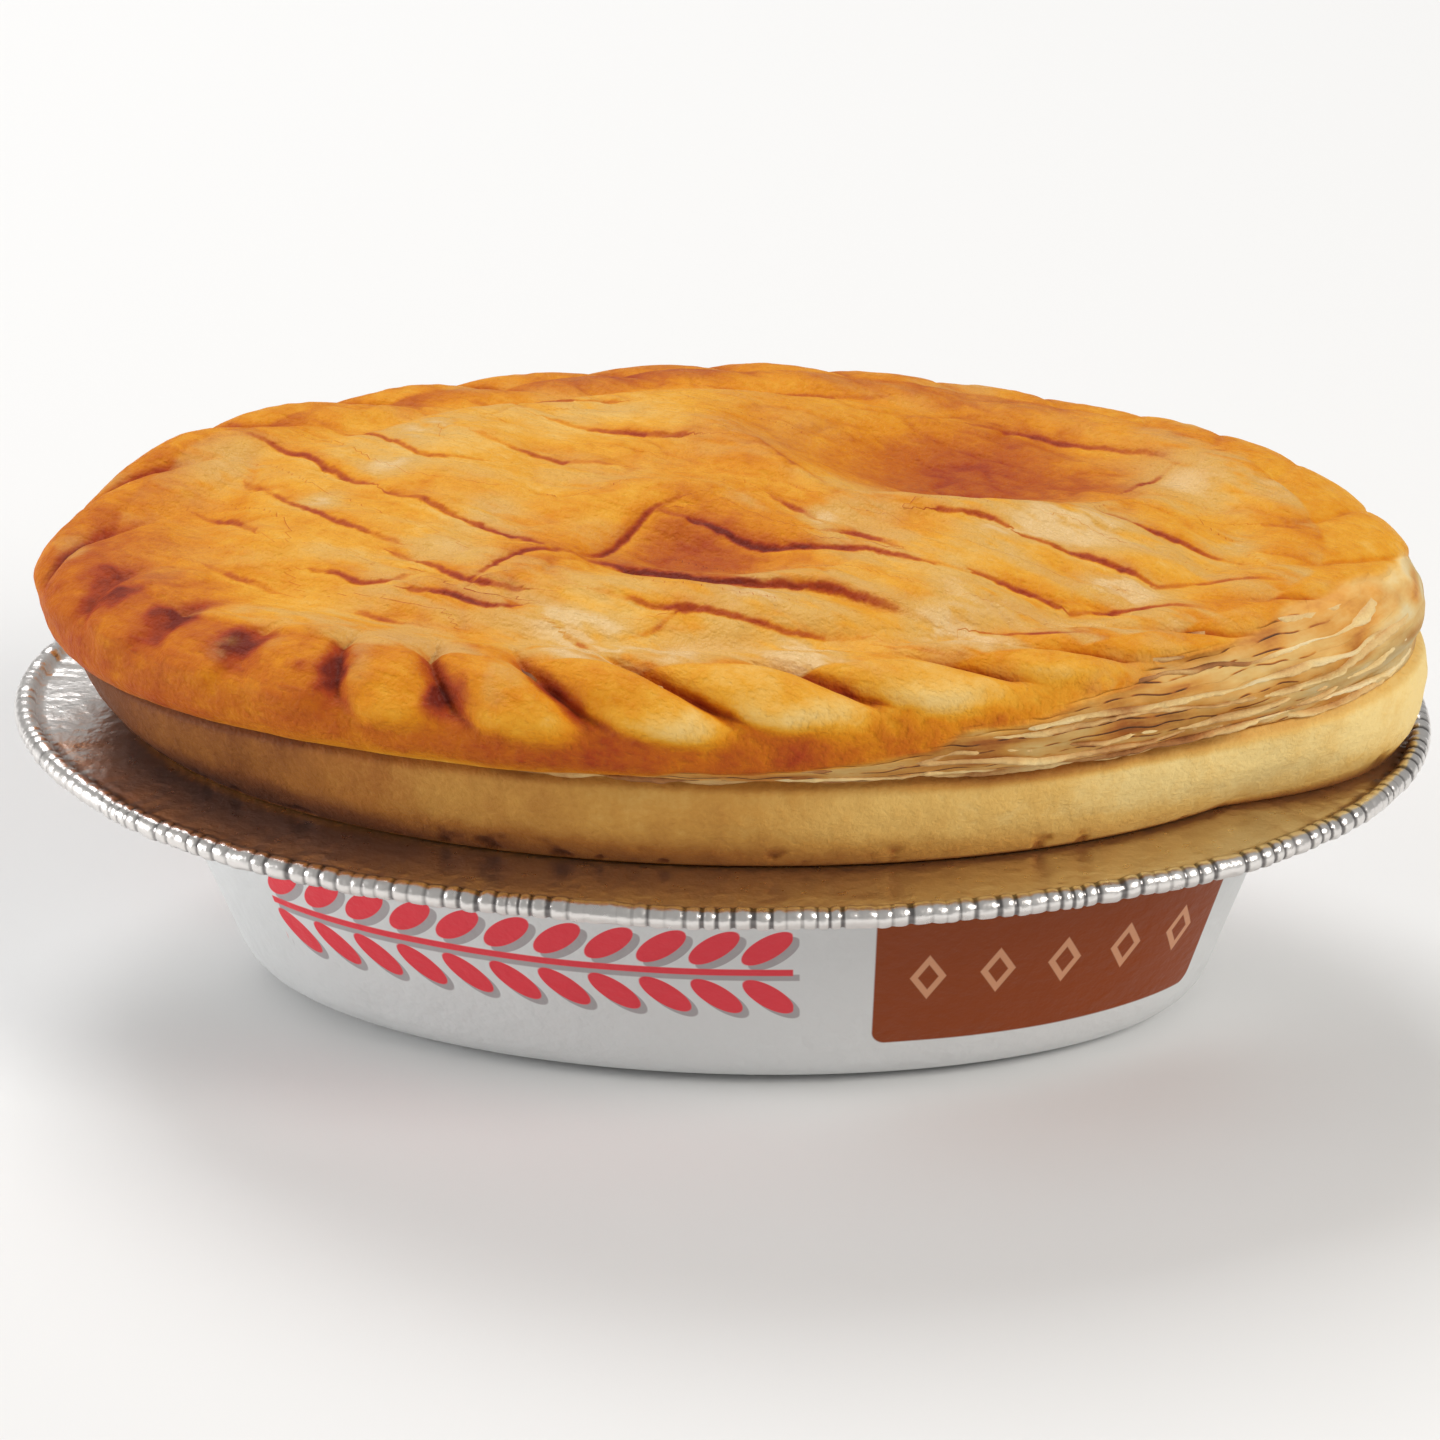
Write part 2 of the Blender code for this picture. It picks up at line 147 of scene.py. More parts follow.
def strip_faces(low_start, low_count, high_start, high_count):
    """Faces between two closed rows of points. A row may be one point, or half of the other."""
    step = np.arange(max(low_count, high_count))
    a, b = low_start + step % low_count, low_start + (step + 1) % low_count
    d, c = high_start + step % high_count, high_start + (step + 1) % high_count
    if high_count == 1:
        return np.column_stack((a, b, d)).tolist()
    if low_count == 1:
        return np.column_stack((a, c, d)).tolist()
    if high_count * 2 == low_count:
        half = np.arange(high_count)
        left, middle = low_start + 2 * half, low_start + 2 * half + 1
        right = low_start + (2 * half + 2) % low_count
        near, far = high_start + half, high_start + (half + 1) % high_count
        return np.vstack((np.column_stack((left, middle, near)), np.column_stack((middle, right, far)),
                          np.column_stack((middle, far, near)))).tolist()
    return np.column_stack((a, b, c, d)).tolist()


def skin(name, shells, slot, **values):
    """Closed shells over rows of points, each from its first pole to its last, with values stored on them."""
    points, faces = [], []
    for rows in shells:
        for row in rows:
            if row is not rows[0]:
                faces += strip_faces(len(points) - previous, previous, len(points), len(row))
            points += row.tolist()
            previous = len(row)
    mesh = bpy.data.meshes.new(name)
    mesh.from_pydata(points, [], faces)
    for key, parts in values.items():
        layer = mesh.attributes.new(key, "FLOAT", "POINT")
        layer.data.foreach_set("value", np.concatenate(parts).astype(np.float32))
    mesh.shade_smooth()
    piece = bpy.data.objects.new(name, mesh)
    bpy.context.scene.collection.objects.link(piece)
    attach(piece, "root")
    return piece


def tin_side(inset, corner_steps, wall_steps, bend_steps):
    """Tin section from the flat base to the flange, a distance inside the foil's under face."""
    lean = math.degrees(WALL_LEAN)
    half_turn = math.tan(math.radians(90.0 - lean) / 2.0)
    foot = -RIM_HEIGHT * math.tan(WALL_LEAN)
    corner = (foot - BASE_CORNER * half_turn, BASE_CORNER)
    bend = (MOUTH_BEND * half_turn, RIM_HEIGHT - FOIL / 2 - MOUTH_BEND)
    lower = arc(corner, BASE_CORNER - inset, -90.0, -lean, corner_steps)
    upper = arc(bend, MOUTH_BEND + inset, 180.0 - lean, 90.0, bend_steps)
    wall = np.linspace(lower[-1], upper[0], wall_steps + 1)[1:-1].tolist()
    return lower + [tuple(point) for point in wall] + upper


tin_share = np.arange(TEETH * COLUMNS_PER_TOOTH) / (TEETH * COLUMNS_PER_TOOTH)
tin_degrees = even_angles(tin_share, FLANGE)
tin_dense, tin_length = oval_length(0.0)
tin_along = np.interp(tin_degrees, tin_dense, tin_length)
rim_line = ring(tin_degrees, FLANGE, RIM_HEIGHT)

# The teeth are uneven in place and depth, and shallow at the left end. The creases run in from the
# bead across the flange.
tooth_place = tin_share * TEETH + lumps(rim_line, *TOOTH_DRIFT)
tooth = (0.5 + 0.5 * np.cos(2.0 * np.pi * tooth_place)) ** TOOTH_SHARPNESS
tooth = tooth * np.clip(TOOTH_MEAN + lumps(rim_line, TOOTH_VARIES), 0.0, 1.0)
tooth = tooth * (1.0 - LEFT_SHALLOW * (0.5 - 0.5 * np.cos(np.radians(tin_degrees))) ** 5)
crease = (np.abs(lumps(rim_line, CREASES)) ** 0.7 - CREASE_MEAN) + lumps(rim_line, FINE_CREASES)
bead_centre = (FLANGE - BEAD_RADIUS, RIM_HEIGHT)
bead_meets = math.degrees(math.asin(FOIL / 2 / BEAD_RADIUS))

tin_section = [(o, h, "outside") for o, h in tin_side(0.0, *OUTSIDE_STEPS)]
lip_offset = tin_section[-1][0]
bead_start = bead_centre[0] - BEAD_RADIUS * math.cos(math.radians(bead_meets))
tin_section += [(o, RIM_HEIGHT - FOIL / 2, "flange")
                for o in np.linspace(lip_offset, bead_start, UNDER_FLANGE_STEPS + 1)[1:-1]]
tin_section += [(o, h, "bead") for o, h in arc(bead_centre, BEAD_RADIUS, 180.0 + bead_meets,
                                               540.0 - bead_meets, BEAD_STEPS)]
tin_section += [(o, RIM_HEIGHT + FOIL / 2, "flange")
                for o in np.linspace(bead_start, lip_offset, OVER_FLANGE_STEPS + 1)[1:-1]]
tin_section += [(o, h, "inside") for o, h in tin_side(FOIL, *INSIDE_STEPS)[::-1]]

tin_rows, tin_lacquer, tin_notch_shade = [np.zeros((1, 3))], [np.ones(1)], [np.zeros(1)]
for offset, height, zone in tin_section:
    reach = np.full(tin_degrees.shape, offset)
    level = np.full(tin_degrees.shape, height)
    if zone == "bead":
        pressed = 1.0 - tooth * TOOTH_DEPTH / BEAD_RADIUS
        reach = bead_centre[0] + (reach - bead_centre[0]) * pressed
        level = bead_centre[1] + (level - bead_centre[1]) * pressed
    if zone in ("bead", "flange"):
        spread = float(np.clip((offset - lip_offset) / (bead_start - lip_offset), 0.0, 1.0))
        level = level + CREASE_DEPTH * crease * spread * (0.35 + 0.65 * spread)
        level = level + FLANGE_WAVE * lumps(rim_line, FLANGE_WAVES) * spread
    if zone == "outside" and height > BASE_CORNER / 4:
        wall_line = ring(tin_degrees, offset, height)
        reach = reach + WALL_DENTS * lumps(wall_line * (1.0, 1.0, 0.35), DENTS)
    tin_rows.append(ring(tin_degrees, reach, level))
    tin_lacquer.append(np.full(tin_degrees.shape, 1.0 if zone == "outside" else 0.0))
    tin_notch_shade.append(tooth if zone == "bead" else 0.0 * tooth)
tin_rows.append(np.array([[0.0, 0.0, FOIL]]))
tin_lacquer.append(np.zeros(1))
tin_notch_shade.append(np.zeros(1))
foil_piece = skin("pressed_foil_tin", [tin_rows], "foil", lacquer=tin_lacquer, tick=tin_notch_shade)
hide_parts("foil_tin")

# The print is laid out on a map of the wall: millimetres along the mouth, and height.
wall_map = foil_piece.data.uv_layers.new(name="wall")
corner_points = np.zeros(len(foil_piece.data.loops), dtype=np.int32)
foil_piece.data.loops.foreach_get("vertex_index", corner_points)
column = np.where(corner_points > 0, (corner_points - 1) % len(tin_share), 0)
corner_along = tin_along[column] / MM
face_sizes = np.zeros(len(foil_piece.data.polygons), dtype=np.int32)
foil_piece.data.polygons.foreach_get("loop_total", face_sizes)
face_starts = np.concatenate(([0], np.cumsum(face_sizes)[:-1]))
face_high = np.repeat(np.maximum.reduceat(corner_along, face_starts), face_sizes)
wraps = face_high - corner_along > tin_length[-1] / MM / 2
corner_along = np.where(wraps, corner_along + tin_length[-1] / MM, corner_along)
corner_height = np.vstack(tin_rows)[corner_points, 2] / MM
wall_map.data.foreach_set("uv", np.column_stack((corner_along, corner_height)).astype(np.float32).ravel())


class Shade:
    """A socket of a material's nodes. Arithmetic on shades adds the Math nodes for it."""

    def __init__(self, finish, socket):
        self.finish, self.socket = finish, socket

    def math(self, operation, *others):
        values = {index: value for index, value in enumerate((self, *others))}
        return self.finish.node("ShaderNodeMath", {"operation": operation}, values)

    def __add__(self, other):
        return self.math("ADD", other)

    def __sub__(self, other):
        return self.math("SUBTRACT", other)

    def __rsub__(self, other):
        return self.finish.node("ShaderNodeMath", {"operation": "SUBTRACT"}, {0: other, 1: self})

    def __mul__(self, other):
        return self.math("MULTIPLY", other)

    def __truediv__(self, other):
        return self.math("DIVIDE", other)

    def __mod__(self, other):
        return self.math("FLOORED_MODULO", other)

    __radd__, __rmul__ = __add__, __mul__

    def ease(self, low, high):
        """0 below low, 1 above high, eased between them. Low may be above high."""
        return self.finish.node("ShaderNodeMapRange", {"interpolation_type": "SMOOTHSTEP"},
                                {"Value": self, "From Min": low, "From Max": high})


class Finish:
    """A material and its nodes."""

    def __init__(self, name):
        self.material = bpy.data.materials.new(name)
        self.material.use_nodes = True
        self.tree = self.material.node_tree
        self.shader = self.tree.nodes["Principled BSDF"]

    def node(self, kind, settings, values, output=0):
        """Adds a node, sets it up, gives its sockets values or links, and returns one output."""
        made = self.tree.nodes.new(kind)
        for key, setting in settings.items():
            if key == "stops":
                ramp = made.color_ramp.elements
                while len(ramp) < len(setting):
                    ramp.new(0.5)
                for stop, (place, colour) in zip(ramp, setting):
                    stop.position, stop.color = place, (*colour, 1.0)
            else:
                setattr(made, key, setting)
        for key, value in values.items():
            self.plug(made.inputs[key], value)
        return Shade(self, made.outputs[output])

    def plug(self, socket, value):
        if isinstance(value, Shade):
            self.tree.links.new(value.socket, socket)
        else:
            socket.default_value = value

    def place(self, stretch=(1.0, 1.0, 1.0), turn=0.0):
        """Where the surface is, in millimetres, along axes turned about Z and then stretched."""
        spot = self.node("ShaderNodeTexCoord", {}, {}, "Object")
        return self.node("ShaderNodeMapping", {"vector_type": "TEXTURE"},
                         {"Vector": spot, "Rotation": (0.0, 0.0, turn),
                          "Scale": tuple(MM / s for s in stretch)})

    def noise(self, spot, size, detail=2.0, rough=0.55):
        """Cloudy noise from 0 to 1 with lumps of a size in millimetres."""
        return self.node("ShaderNodeTexNoise", {}, {"Vector": spot, "Scale": 1.0 / size, "Detail": detail,
                                                    "Roughness": rough})

    def stored(self, name):
        return self.node("ShaderNodeAttribute", {"attribute_name": name}, {}, "Fac")

    def ramp(self, value, *stops):
        return self.node("ShaderNodeValToRGB", {"stops": stops}, {"Fac": value})

    def blend(self, factor, first, second):
        """Colour between two colours."""
        first = first if isinstance(first, Shade) else (*first, 1.0)
        second = second if isinstance(second, Shade) else (*second, 1.0)
        return self.node("ShaderNodeMix", {"data_type": "RGBA"}, {0: factor, 6: first, 7: second}, 2)

    def relief(self, height, depth):
        """Bumps: height goes from 0 to 1 over a depth in metres."""
        return self.node("ShaderNodeBump", {}, {"Height": height, "Strength": 1.0, "Distance": depth})

    def wear(self, piece, **inputs):
        for key, value in inputs.items():
            self.plug(self.shader.inputs[key.replace("_", " ")], value)
        piece.data.materials.clear()
        piece.data.materials.append(self.material)


# Print on the wall, in millimetres along it and up it, with the kernels' lean in degrees. The
# design comes twice round the tin.
REPEAT = float(tin_length[-1] / MM / 2)
EAR_START, EAR_HEIGHT = 28.0, 17.0
KERNELS, KERNEL_PITCH, KERNEL_LONG, KERNEL_WIDE, KERNEL_LEAN = 11, 5.7, 3.4, 1.45, 38.0
KERNEL_FROM_STEM = 3.4
EAR_END = EAR_START + KERNELS * KERNEL_PITCH
EAR_SHADE_SHIFT = 0.7
STEM_HALF = 0.45
PANEL_START, PANEL_END, PANEL_FOOT, PANEL_CORNER = 99.5, 143.5, 6.5, 1.6
LOZENGE_PITCH, LOZENGE_HEIGHT, LOZENGE_HALF, LOZENGE_LINE = 8.0, 15.5, 3.1, 1.35
LOZENGE_START, LOZENGE_SLIM = 2.0, 1.5
INK_EDGE = 0.12
LOZENGE_EDGE = 0.15
LACQUER = (0.70, 0.71, 0.71)
RED_INK = (0.78, 0.045, 0.065)
RED_SHADE = (0.30, 0.26, 0.27)
ORANGE_INK = (0.26, 0.044, 0.001)
PALE_INK = (0.72, 0.36, 0.20)
BARE_FOIL = (0.84, 0.82, 0.80)
WARM_FOIL = (0.80, 0.76, 0.73)
# Painted shade for the notches that the teeth press into the bead.
FOIL_NOTCH_PAINTED_SHADE = (0.10, 0.09, 0.09)

foil_finish = Finish("foil")
wall = foil_finish.node("ShaderNodeUVMap", {"uv_map": "wall"}, {})
wall_axes = [foil_finish.node("ShaderNodeSeparateXYZ", {}, {0: wall}, axis) for axis in ("X", "Y")]
print_x, print_y = wall_axes[0] % REPEAT, wall_axes[1]


def kernels(x, y, row_height, lean):
    """Row of leaning grain kernels."""
    c, s = math.cos(math.radians(lean)), math.sin(math.radians(lean))
    near = (x - EAR_START) % KERNEL_PITCH - KERNEL_PITCH / 2
    up = y - row_height
    long = (near * c + up * s) / KERNEL_LONG
    wide = (up * c - near * s) / KERNEL_WIDE
    return (long * long + wide * wide).ease(1.08, 0.92)


def ear_of_grain(x, y):
    """Two rows of kernels along a stem, cut off at both ends of the ear."""
    upper = kernels(x, y, EAR_HEIGHT + KERNEL_FROM_STEM, KERNEL_LEAN)
    lower = kernels(x, y, EAR_HEIGHT - KERNEL_FROM_STEM, -KERNEL_LEAN)
    stem = (y - EAR_HEIGHT).math("ABSOLUTE").ease(STEM_HALF + 0.1, STEM_HALF - 0.1)
    within = x.ease(EAR_START - 0.2, EAR_START) * x.ease(EAR_END, EAR_END - 0.2)
    return upper.math("MAXIMUM", lower).math("MAXIMUM", stem) * within


ear = ear_of_grain(print_x, print_y)
ear_shadow = ear_of_grain(print_x - EAR_SHADE_SHIFT, print_y + EAR_SHADE_SHIFT)

# The panel is a field with rounded lower corners. Its lozenges are outlines in a row.
corner_x = (PANEL_START + PANEL_CORNER - print_x).math("MAXIMUM", print_x - (PANEL_END - PANEL_CORNER))
corner_y = PANEL_FOOT + PANEL_CORNER - print_y
past_x, past_y = corner_x.math("MAXIMUM", 0.0), corner_y.math("MAXIMUM", 0.0)
panel = (past_x * past_x + past_y * past_y).math("SQRT")
panel = panel.ease(PANEL_CORNER + INK_EDGE, PANEL_CORNER - INK_EDGE)
lozenge_x = (print_x - PANEL_START - LOZENGE_START) % LOZENGE_PITCH - LOZENGE_PITCH / 2
lozenge_y = (print_y - LOZENGE_HEIGHT).math("ABSOLUTE")
lozenge_reach = lozenge_x.math("ABSOLUTE") * LOZENGE_SLIM + lozenge_y
lozenge_inside = LOZENGE_HALF - LOZENGE_LINE
lozenge = lozenge_reach.ease(LOZENGE_HALF + LOZENGE_EDGE, LOZENGE_HALF - LOZENGE_EDGE)
lozenge = lozenge * lozenge_reach.ease(lozenge_inside - LOZENGE_EDGE, lozenge_inside + LOZENGE_EDGE)
lozenge = lozenge * print_x.ease(PANEL_START + LOZENGE_START - 0.2, PANEL_START + LOZENGE_START)
lozenge = lozenge * print_x.ease(PANEL_END - LOZENGE_START + 0.4, PANEL_END - LOZENGE_START + 0.2)

tin_spot = foil_finish.place()
print_wear = foil_finish.noise(tin_spot, 1.4, 3.0)
ink = foil_finish.blend(ear_shadow * 0.75, LACQUER, RED_SHADE)
ink = foil_finish.blend(ear, ink, RED_INK)
ink = foil_finish.blend(panel, ink, ORANGE_INK)
ink = foil_finish.blend(lozenge * 0.85, ink, PALE_INK)
lacquered = foil_finish.stored("lacquer").ease(0.4, 0.6)
foil_tone = foil_finish.blend(foil_finish.noise(tin_spot, 9.0), WARM_FOIL, BARE_FOIL)
# The bead's notches are darkened with painted shade.
foil_tone = foil_finish.blend(foil_finish.stored("tick").ease(0.15, 0.8) * 0.85, foil_tone, FOIL_NOTCH_PAINTED_SHADE)
foil_relief = foil_finish.noise(tin_spot, 1.3, 2.0) + 2.0 * foil_finish.noise(tin_spot, 5.0)
foil_finish.wear(foil_piece, Base_Color=foil_finish.blend(lacquered, foil_tone, ink),
                 Metallic=1.0 - lacquered * 0.85,
                 Roughness=0.24 + 0.14 * lacquered + 0.10 * print_wear,
                 Specular_IOR_Level=0.35,
                 Normal=foil_finish.relief(foil_relief, 0.14 * MM))

# Lower crust: short-crust pastry that lines the tin and swells over its lip, with the filling
# baked solid inside. It is paler towards the right end, and darker towards the left, where the
# darkening is partly browning and partly painted shade.
GAP = 0.3 * MM
SEAM_HEIGHT = 44.0 * MM
LEFT_SEAM_DROP = 2.8 * MM
SEAM_OVERHANG = 5.6 * MM
RIGHT_PUFF = 6.5 * MM
LEFT_SWELL = 0.8 * MM
FLANGE_SPREAD = 9.9 * MM
FOOT_ROUNDING = 0.5 * MM
RIGHT_FOOT_SWELL = 1.4 * MM
RIGHT_FOOT_RISE = 1.6 * MM
CRUST_BELLY = 0.7 * MM
CRUST_TOP_ROUNDING = 0.9 * MM
CRUST_LEDGE = 1.6 * MM
NOTCH_DEPTH = 0.5 * MM
CRUST_COLUMNS = 760
CRUST_ROWS = 44

CRUST_LUMPS = (0.45, 13.0, 11)
CRUST_FLAT_LUMPS = (0.16, 4.0, 12)
CRUST_CRUMB = (0.06, 1.3, 13)
NOTCHES = (1.0, 2.3, 14)
NOTCH_EDGES = (0.6, 1.1, 16)
CRUST_MOTTLE = (0.10, 9.0, 15)

# How brown the crust is: 0 is pale, 1 is burnt. The rows that hardly show have tones of their own.
# The amounts named painted darken it with painted shade: at its foot, in its notches and under the leaves.
CRUST_TONE = 0.25
CRUST_HIDDEN_TONE = 0.4
CRUST_CONTACT_TONE = 0.6
CRUST_LEDGE_TONE = 0.65
CRUST_PALE_RIGHT = 0.24
CRUST_BROWN_AND_SHADE_LEFT = 0.50
CRUST_FOOT_PAINTED_SHADE = 0.28
CRUST_NOTCH_PAINTED_SHADE = 0.25
CRUST_TOP_TONE = 0.14
CRUST_LEAF_PAINTED_SHADOW = 0.30


def bump(degrees, centre, reach):
    """Rounded hump round an angle: 1 at the centre, 0 at the reach."""
    away = np.abs(np.mod(degrees - centre + 180.0, 360.0) - 180.0)
    return 0.5 + 0.5 * np.cos(np.pi * np.minimum(away / reach, 1.0))


def seam_height(degrees):
    """Height where the lid meets the lower crust."""
    return SEAM_HEIGHT - LEFT_SEAM_DROP * bump(degrees, 185.0, 70.0)


def seam_offset(degrees):
    """How far that seam stands out past the tin's mouth."""
    return (SEAM_OVERHANG + RIGHT_PUFF * bump(degrees, -6.0, 45.0)
            + LEFT_SWELL * bump(degrees, 182.0, 60.0))


crust_degrees = even_angles(np.arange(CRUST_COLUMNS) / CRUST_COLUMNS, 0.0)
crust_inside = tin_side(FOIL + GAP, 3, 1, 3)
crust_lip = crust_inside[-1][0]
right_end = bump(crust_degrees, -3.0, 36.0)
crust_spread = FLANGE_SPREAD * right_end
lip_height = RIM_HEIGHT + FOIL / 2 + GAP
crust_foot = np.maximum(crust_lip + FOOT_ROUNDING, crust_spread + RIGHT_FOOT_SWELL * right_end)
crust_foot_z = lip_height + FOOT_ROUNDING + RIGHT_FOOT_RISE * right_end
crust_seam_z = seam_height(crust_degrees) - GAP / 2
crust_seam_r = seam_offset(crust_degrees)
pale_right = bump(crust_degrees, 345.0, 85.0)
brown_and_shade_left = bump(crust_degrees, 205.0, 75.0)
leaf_shadow_span = bump(crust_degrees, 308.0, 34.0)

crust_rows = [np.array([[0.0, 0.0, FOIL + GAP]])]
crust_bake = [np.full(1, CRUST_HIDDEN_TONE)]
for offset, height in crust_inside[:-1]:
    crust_rows.append(ring(crust_degrees, offset, height))
    crust_bake.append(np.full(CRUST_COLUMNS, CRUST_HIDDEN_TONE))
crust_rows.append(ring(crust_degrees, np.maximum(crust_lip, crust_spread), lip_height))
crust_bake.append(np.full(CRUST_COLUMNS, CRUST_CONTACT_TONE))
for part in np.linspace(0.0, 1.0, CRUST_ROWS):
    arch = math.sin(math.pi * part)
    reach = crust_foot + (crust_seam_r - crust_foot) * part ** 0.8 + CRUST_BELLY * arch
    level = crust_foot_z + (crust_seam_z - crust_foot_z) * part
    rounding = CRUST_TOP_ROUNDING * smooth(part, 0.86, 1.0) ** 2
    here = ring(crust_degrees, reach, level)
    uneven = (lumps(here, CRUST_LUMPS) + lumps(here * (1.0, 1.0, 1.8), CRUST_FLAT_LUMPS)
              + lumps(here, CRUST_CRUMB))
    notch = smooth(lumps(here * (1.0, 1.0, 0.2), NOTCHES) + lumps(here, NOTCH_EDGES), 0.35, 0.9)
    notch = notch * (1.0 - smooth(part, 0.02, 0.3))
    reach = reach - rounding + MM * uneven * arch ** 0.7 - NOTCH_DEPTH * notch
    crust_rows.append(ring(crust_degrees, reach, level))
    # Towards the left the crust is browned and also darkened with painted shade.
    bake = CRUST_TONE - CRUST_PALE_RIGHT * pale_right + CRUST_BROWN_AND_SHADE_LEFT * brown_and_shade_left
    # Painted shade darkens its foot, less at the right end, and the notches there.
    bake = bake + CRUST_FOOT_PAINTED_SHADE * (1.0 - smooth(part, 0.0, 0.45)) * (1.0 - 0.75 * pale_right)
    bake = bake + CRUST_NOTCH_PAINTED_SHADE * notch + CRUST_TOP_TONE * smooth(part, 0.85, 1.0)
    # Painted shadow on the crust's top under the leaves at the front right.
    bake = bake + CRUST_LEAF_PAINTED_SHADOW * smooth(part, 0.80, 0.90) * leaf_shadow_span
    crust_bake.append(bake + lumps(here, CRUST_MOTTLE))
crust_rows.append(ring(crust_degrees, crust_seam_r - CRUST_LEDGE, crust_seam_z))
crust_bake.append(np.full(CRUST_COLUMNS, CRUST_LEDGE_TONE))
crust_rows.append(np.array([[0.0, 0.0, SEAM_HEIGHT - GAP / 2]]))
crust_bake.append(np.full(1, CRUST_HIDDEN_TONE))
crust_piece = skin("short_crust", [crust_rows], "short_crust", bake=crust_bake)
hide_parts("lower_crust")

# Colours of the crust from pale to burnt.
CRUST_COLOURS = ((0.0, (0.86, 0.64, 0.26)), (0.14, (0.78, 0.49, 0.14)), (0.32, (0.62, 0.315, 0.065)),
                 (0.5, (0.40, 0.150, 0.025)), (0.7, (0.20, 0.060, 0.012)), (1.0, (0.07, 0.018, 0.006)))

crust_finish = Finish("short_crust")
crust_spot = crust_finish.place()
crust_fine = crust_finish.noise(crust_spot, 0.7, 4.0, 0.65)
crust_broad = crust_finish.noise(crust_finish.place((1.0, 1.0, 0.6)), 3.2, 3.0)
crust_tone = crust_finish.stored("bake") + 0.22 * (crust_broad - 0.5) + 0.14 * (crust_fine - 0.5)
crust_finish.wear(crust_piece, Base_Color=crust_finish.ramp(crust_tone, *CRUST_COLOURS),
                  Roughness=0.52 + 0.25 * crust_fine,
                  Specular_IOR_Level=0.22,
                  Normal=crust_finish.relief(0.7 * crust_fine + crust_broad, 0.32 * MM))

# Lid: puff pastry rolled flat, crimped to the crust like a rope, slashed with a knife and glazed.
# Baking has puffed it between the slashes, folded it in the middle and let it sink into a hollow
# at the back right. The pinches of the crimps are deep brown.
CROWN_HEIGHT = 57.5 * MM
LID_OVERHANG = 9.6 * MM
LID_PUFF = 0.46 * RIGHT_PUFF
LID_ROUNDING = 7.0 * MM
LID_WIDEST = 3.6 * MM
LID_UNDERCUT = 4.0 * MM
RIGHT_ROUNDING = 3.5 * MM
BACK_TUCK = 0.5 * MM
INNER_DIP = 1.1 * MM
EDGE_HEIGHTS = {0: 53.4, 30: 55.2, 60: 53.6, 90: 54.1, 120: 52.7, 150: 53.0, 180: 49.8,
                210: 51.2, 240: 53.6, 270: 54.8, 300: 55.0, 330: 54.4}
CRIMPS = 27
COLUMNS_PER_CRIMP = 32
CRIMP_DEPTH = 2.4 * MM
LEFT_CRIMP_LOSS = 1.7 * MM
TIP_PLUMPNESS = 0.55 * MM
PINCH_DEPTH = 0.35 * MM
LEAF_SET_BACK = 0.5 * MM
CRIMP_STRENGTH = {0: 0.25, 30: 0.10, 70: 0.15, 100: 0.32, 128: 0.6, 165: 0.6, 195: 0.7, 230: 0.8,
                  255: 1.0, 290: 1.0, 312: 0.8, 330: 0.45}
CRIMP_DRIFT = {20: 0.35, 60: 0.0, 90: -0.1, 120: 0.05, 155: 0.35, 200: 0.72, 222: 0.66, 240: 0.32,
               252: 0.08, 268: 0.0, 280: 0.28, 290: 0.50, 305: 0.52, 320: 0.58, 345: 0.6}
CRIMP_SLANT = {0: 0.9, 60: 1.0, 120: 1.0, 170: 0.9, 205: 0.2, 222: 0.1, 240: 0.5, 252: 1.0,
               268: 1.5, 300: 1.7, 330: 1.4}
CRIMP_TIPS = {0: -10.0, 60: -15.0, 180: 0.0, 215: 24.0, 235: 8.0, 252: 9.0, 263: 13.0, 275: 20.0,
              286: 26.0, 300: 40.0, 315: 46.0, 335: 20.0}
PINCH_WIDTHS = {0: 0.05, 90: 0.07, 180: 0.10, 215: 0.15, 242: 0.13, 258: 0.10, 275: 0.09, 300: 0.06}

# How far up the lid's side its layers have come apart, as the turn of its rounding (degrees).
LEAF_TOP = {0: 44.0, 10: 10.0, 22: -40.0, 32: -80.0, 246: -80.0, 258: -44.0, 266: -26.0, 276: -16.0,
            286: -4.0, 300: 22.0, 309: 38.0, 318: 58.0, 328: 62.0, 340: 74.0, 350: 64.0}

# Forms on the lid's top: centre x and y, half length, half width, turn, and height (mm, degrees).
LID_FORMS = (
    (26.0, 13.5, 18.0, 11.5, -8.0, -4.0),
    (27.0, -2.5, 17.0, 3.0, 2.0, 1.1),
    (3.0, 10.0, 12.0, 4.5, -48.0, 1.4),
    (-1.0, -14.5, 11.0, 5.0, -12.0, -1.9),
    (3.0, -26.0, 19.0, 3.6, -12.0, 1.0),
    (-6.0, -2.0, 9.0, 4.0, 10.0, 1.2),
)

# The folds and slashes run mostly at this angle to the long axis.
GRAIN_ANGLE = math.radians(-30.0)

# Folds, where one sheet of pastry has slid over the next: the edge of the upper sheet (mm), which
# is on the left as the line runs.
FOLDS = (
    ((-12.1, -16.2), (-9.3, -16.8), (-4.1, -19.6), (1.2, -21.3), (7.8, -21.8), (14.2, -22.2),
     (18.8, -24.3), (25.0, -27.2)),
    ((44.0, 9.0), (40.5, 4.5), (33.7, 1.5), (25.5, 0.2), (19.3, -0.6), (12.0, 0.3), (6.2, 6.1), (1.6, 14.9)),
)

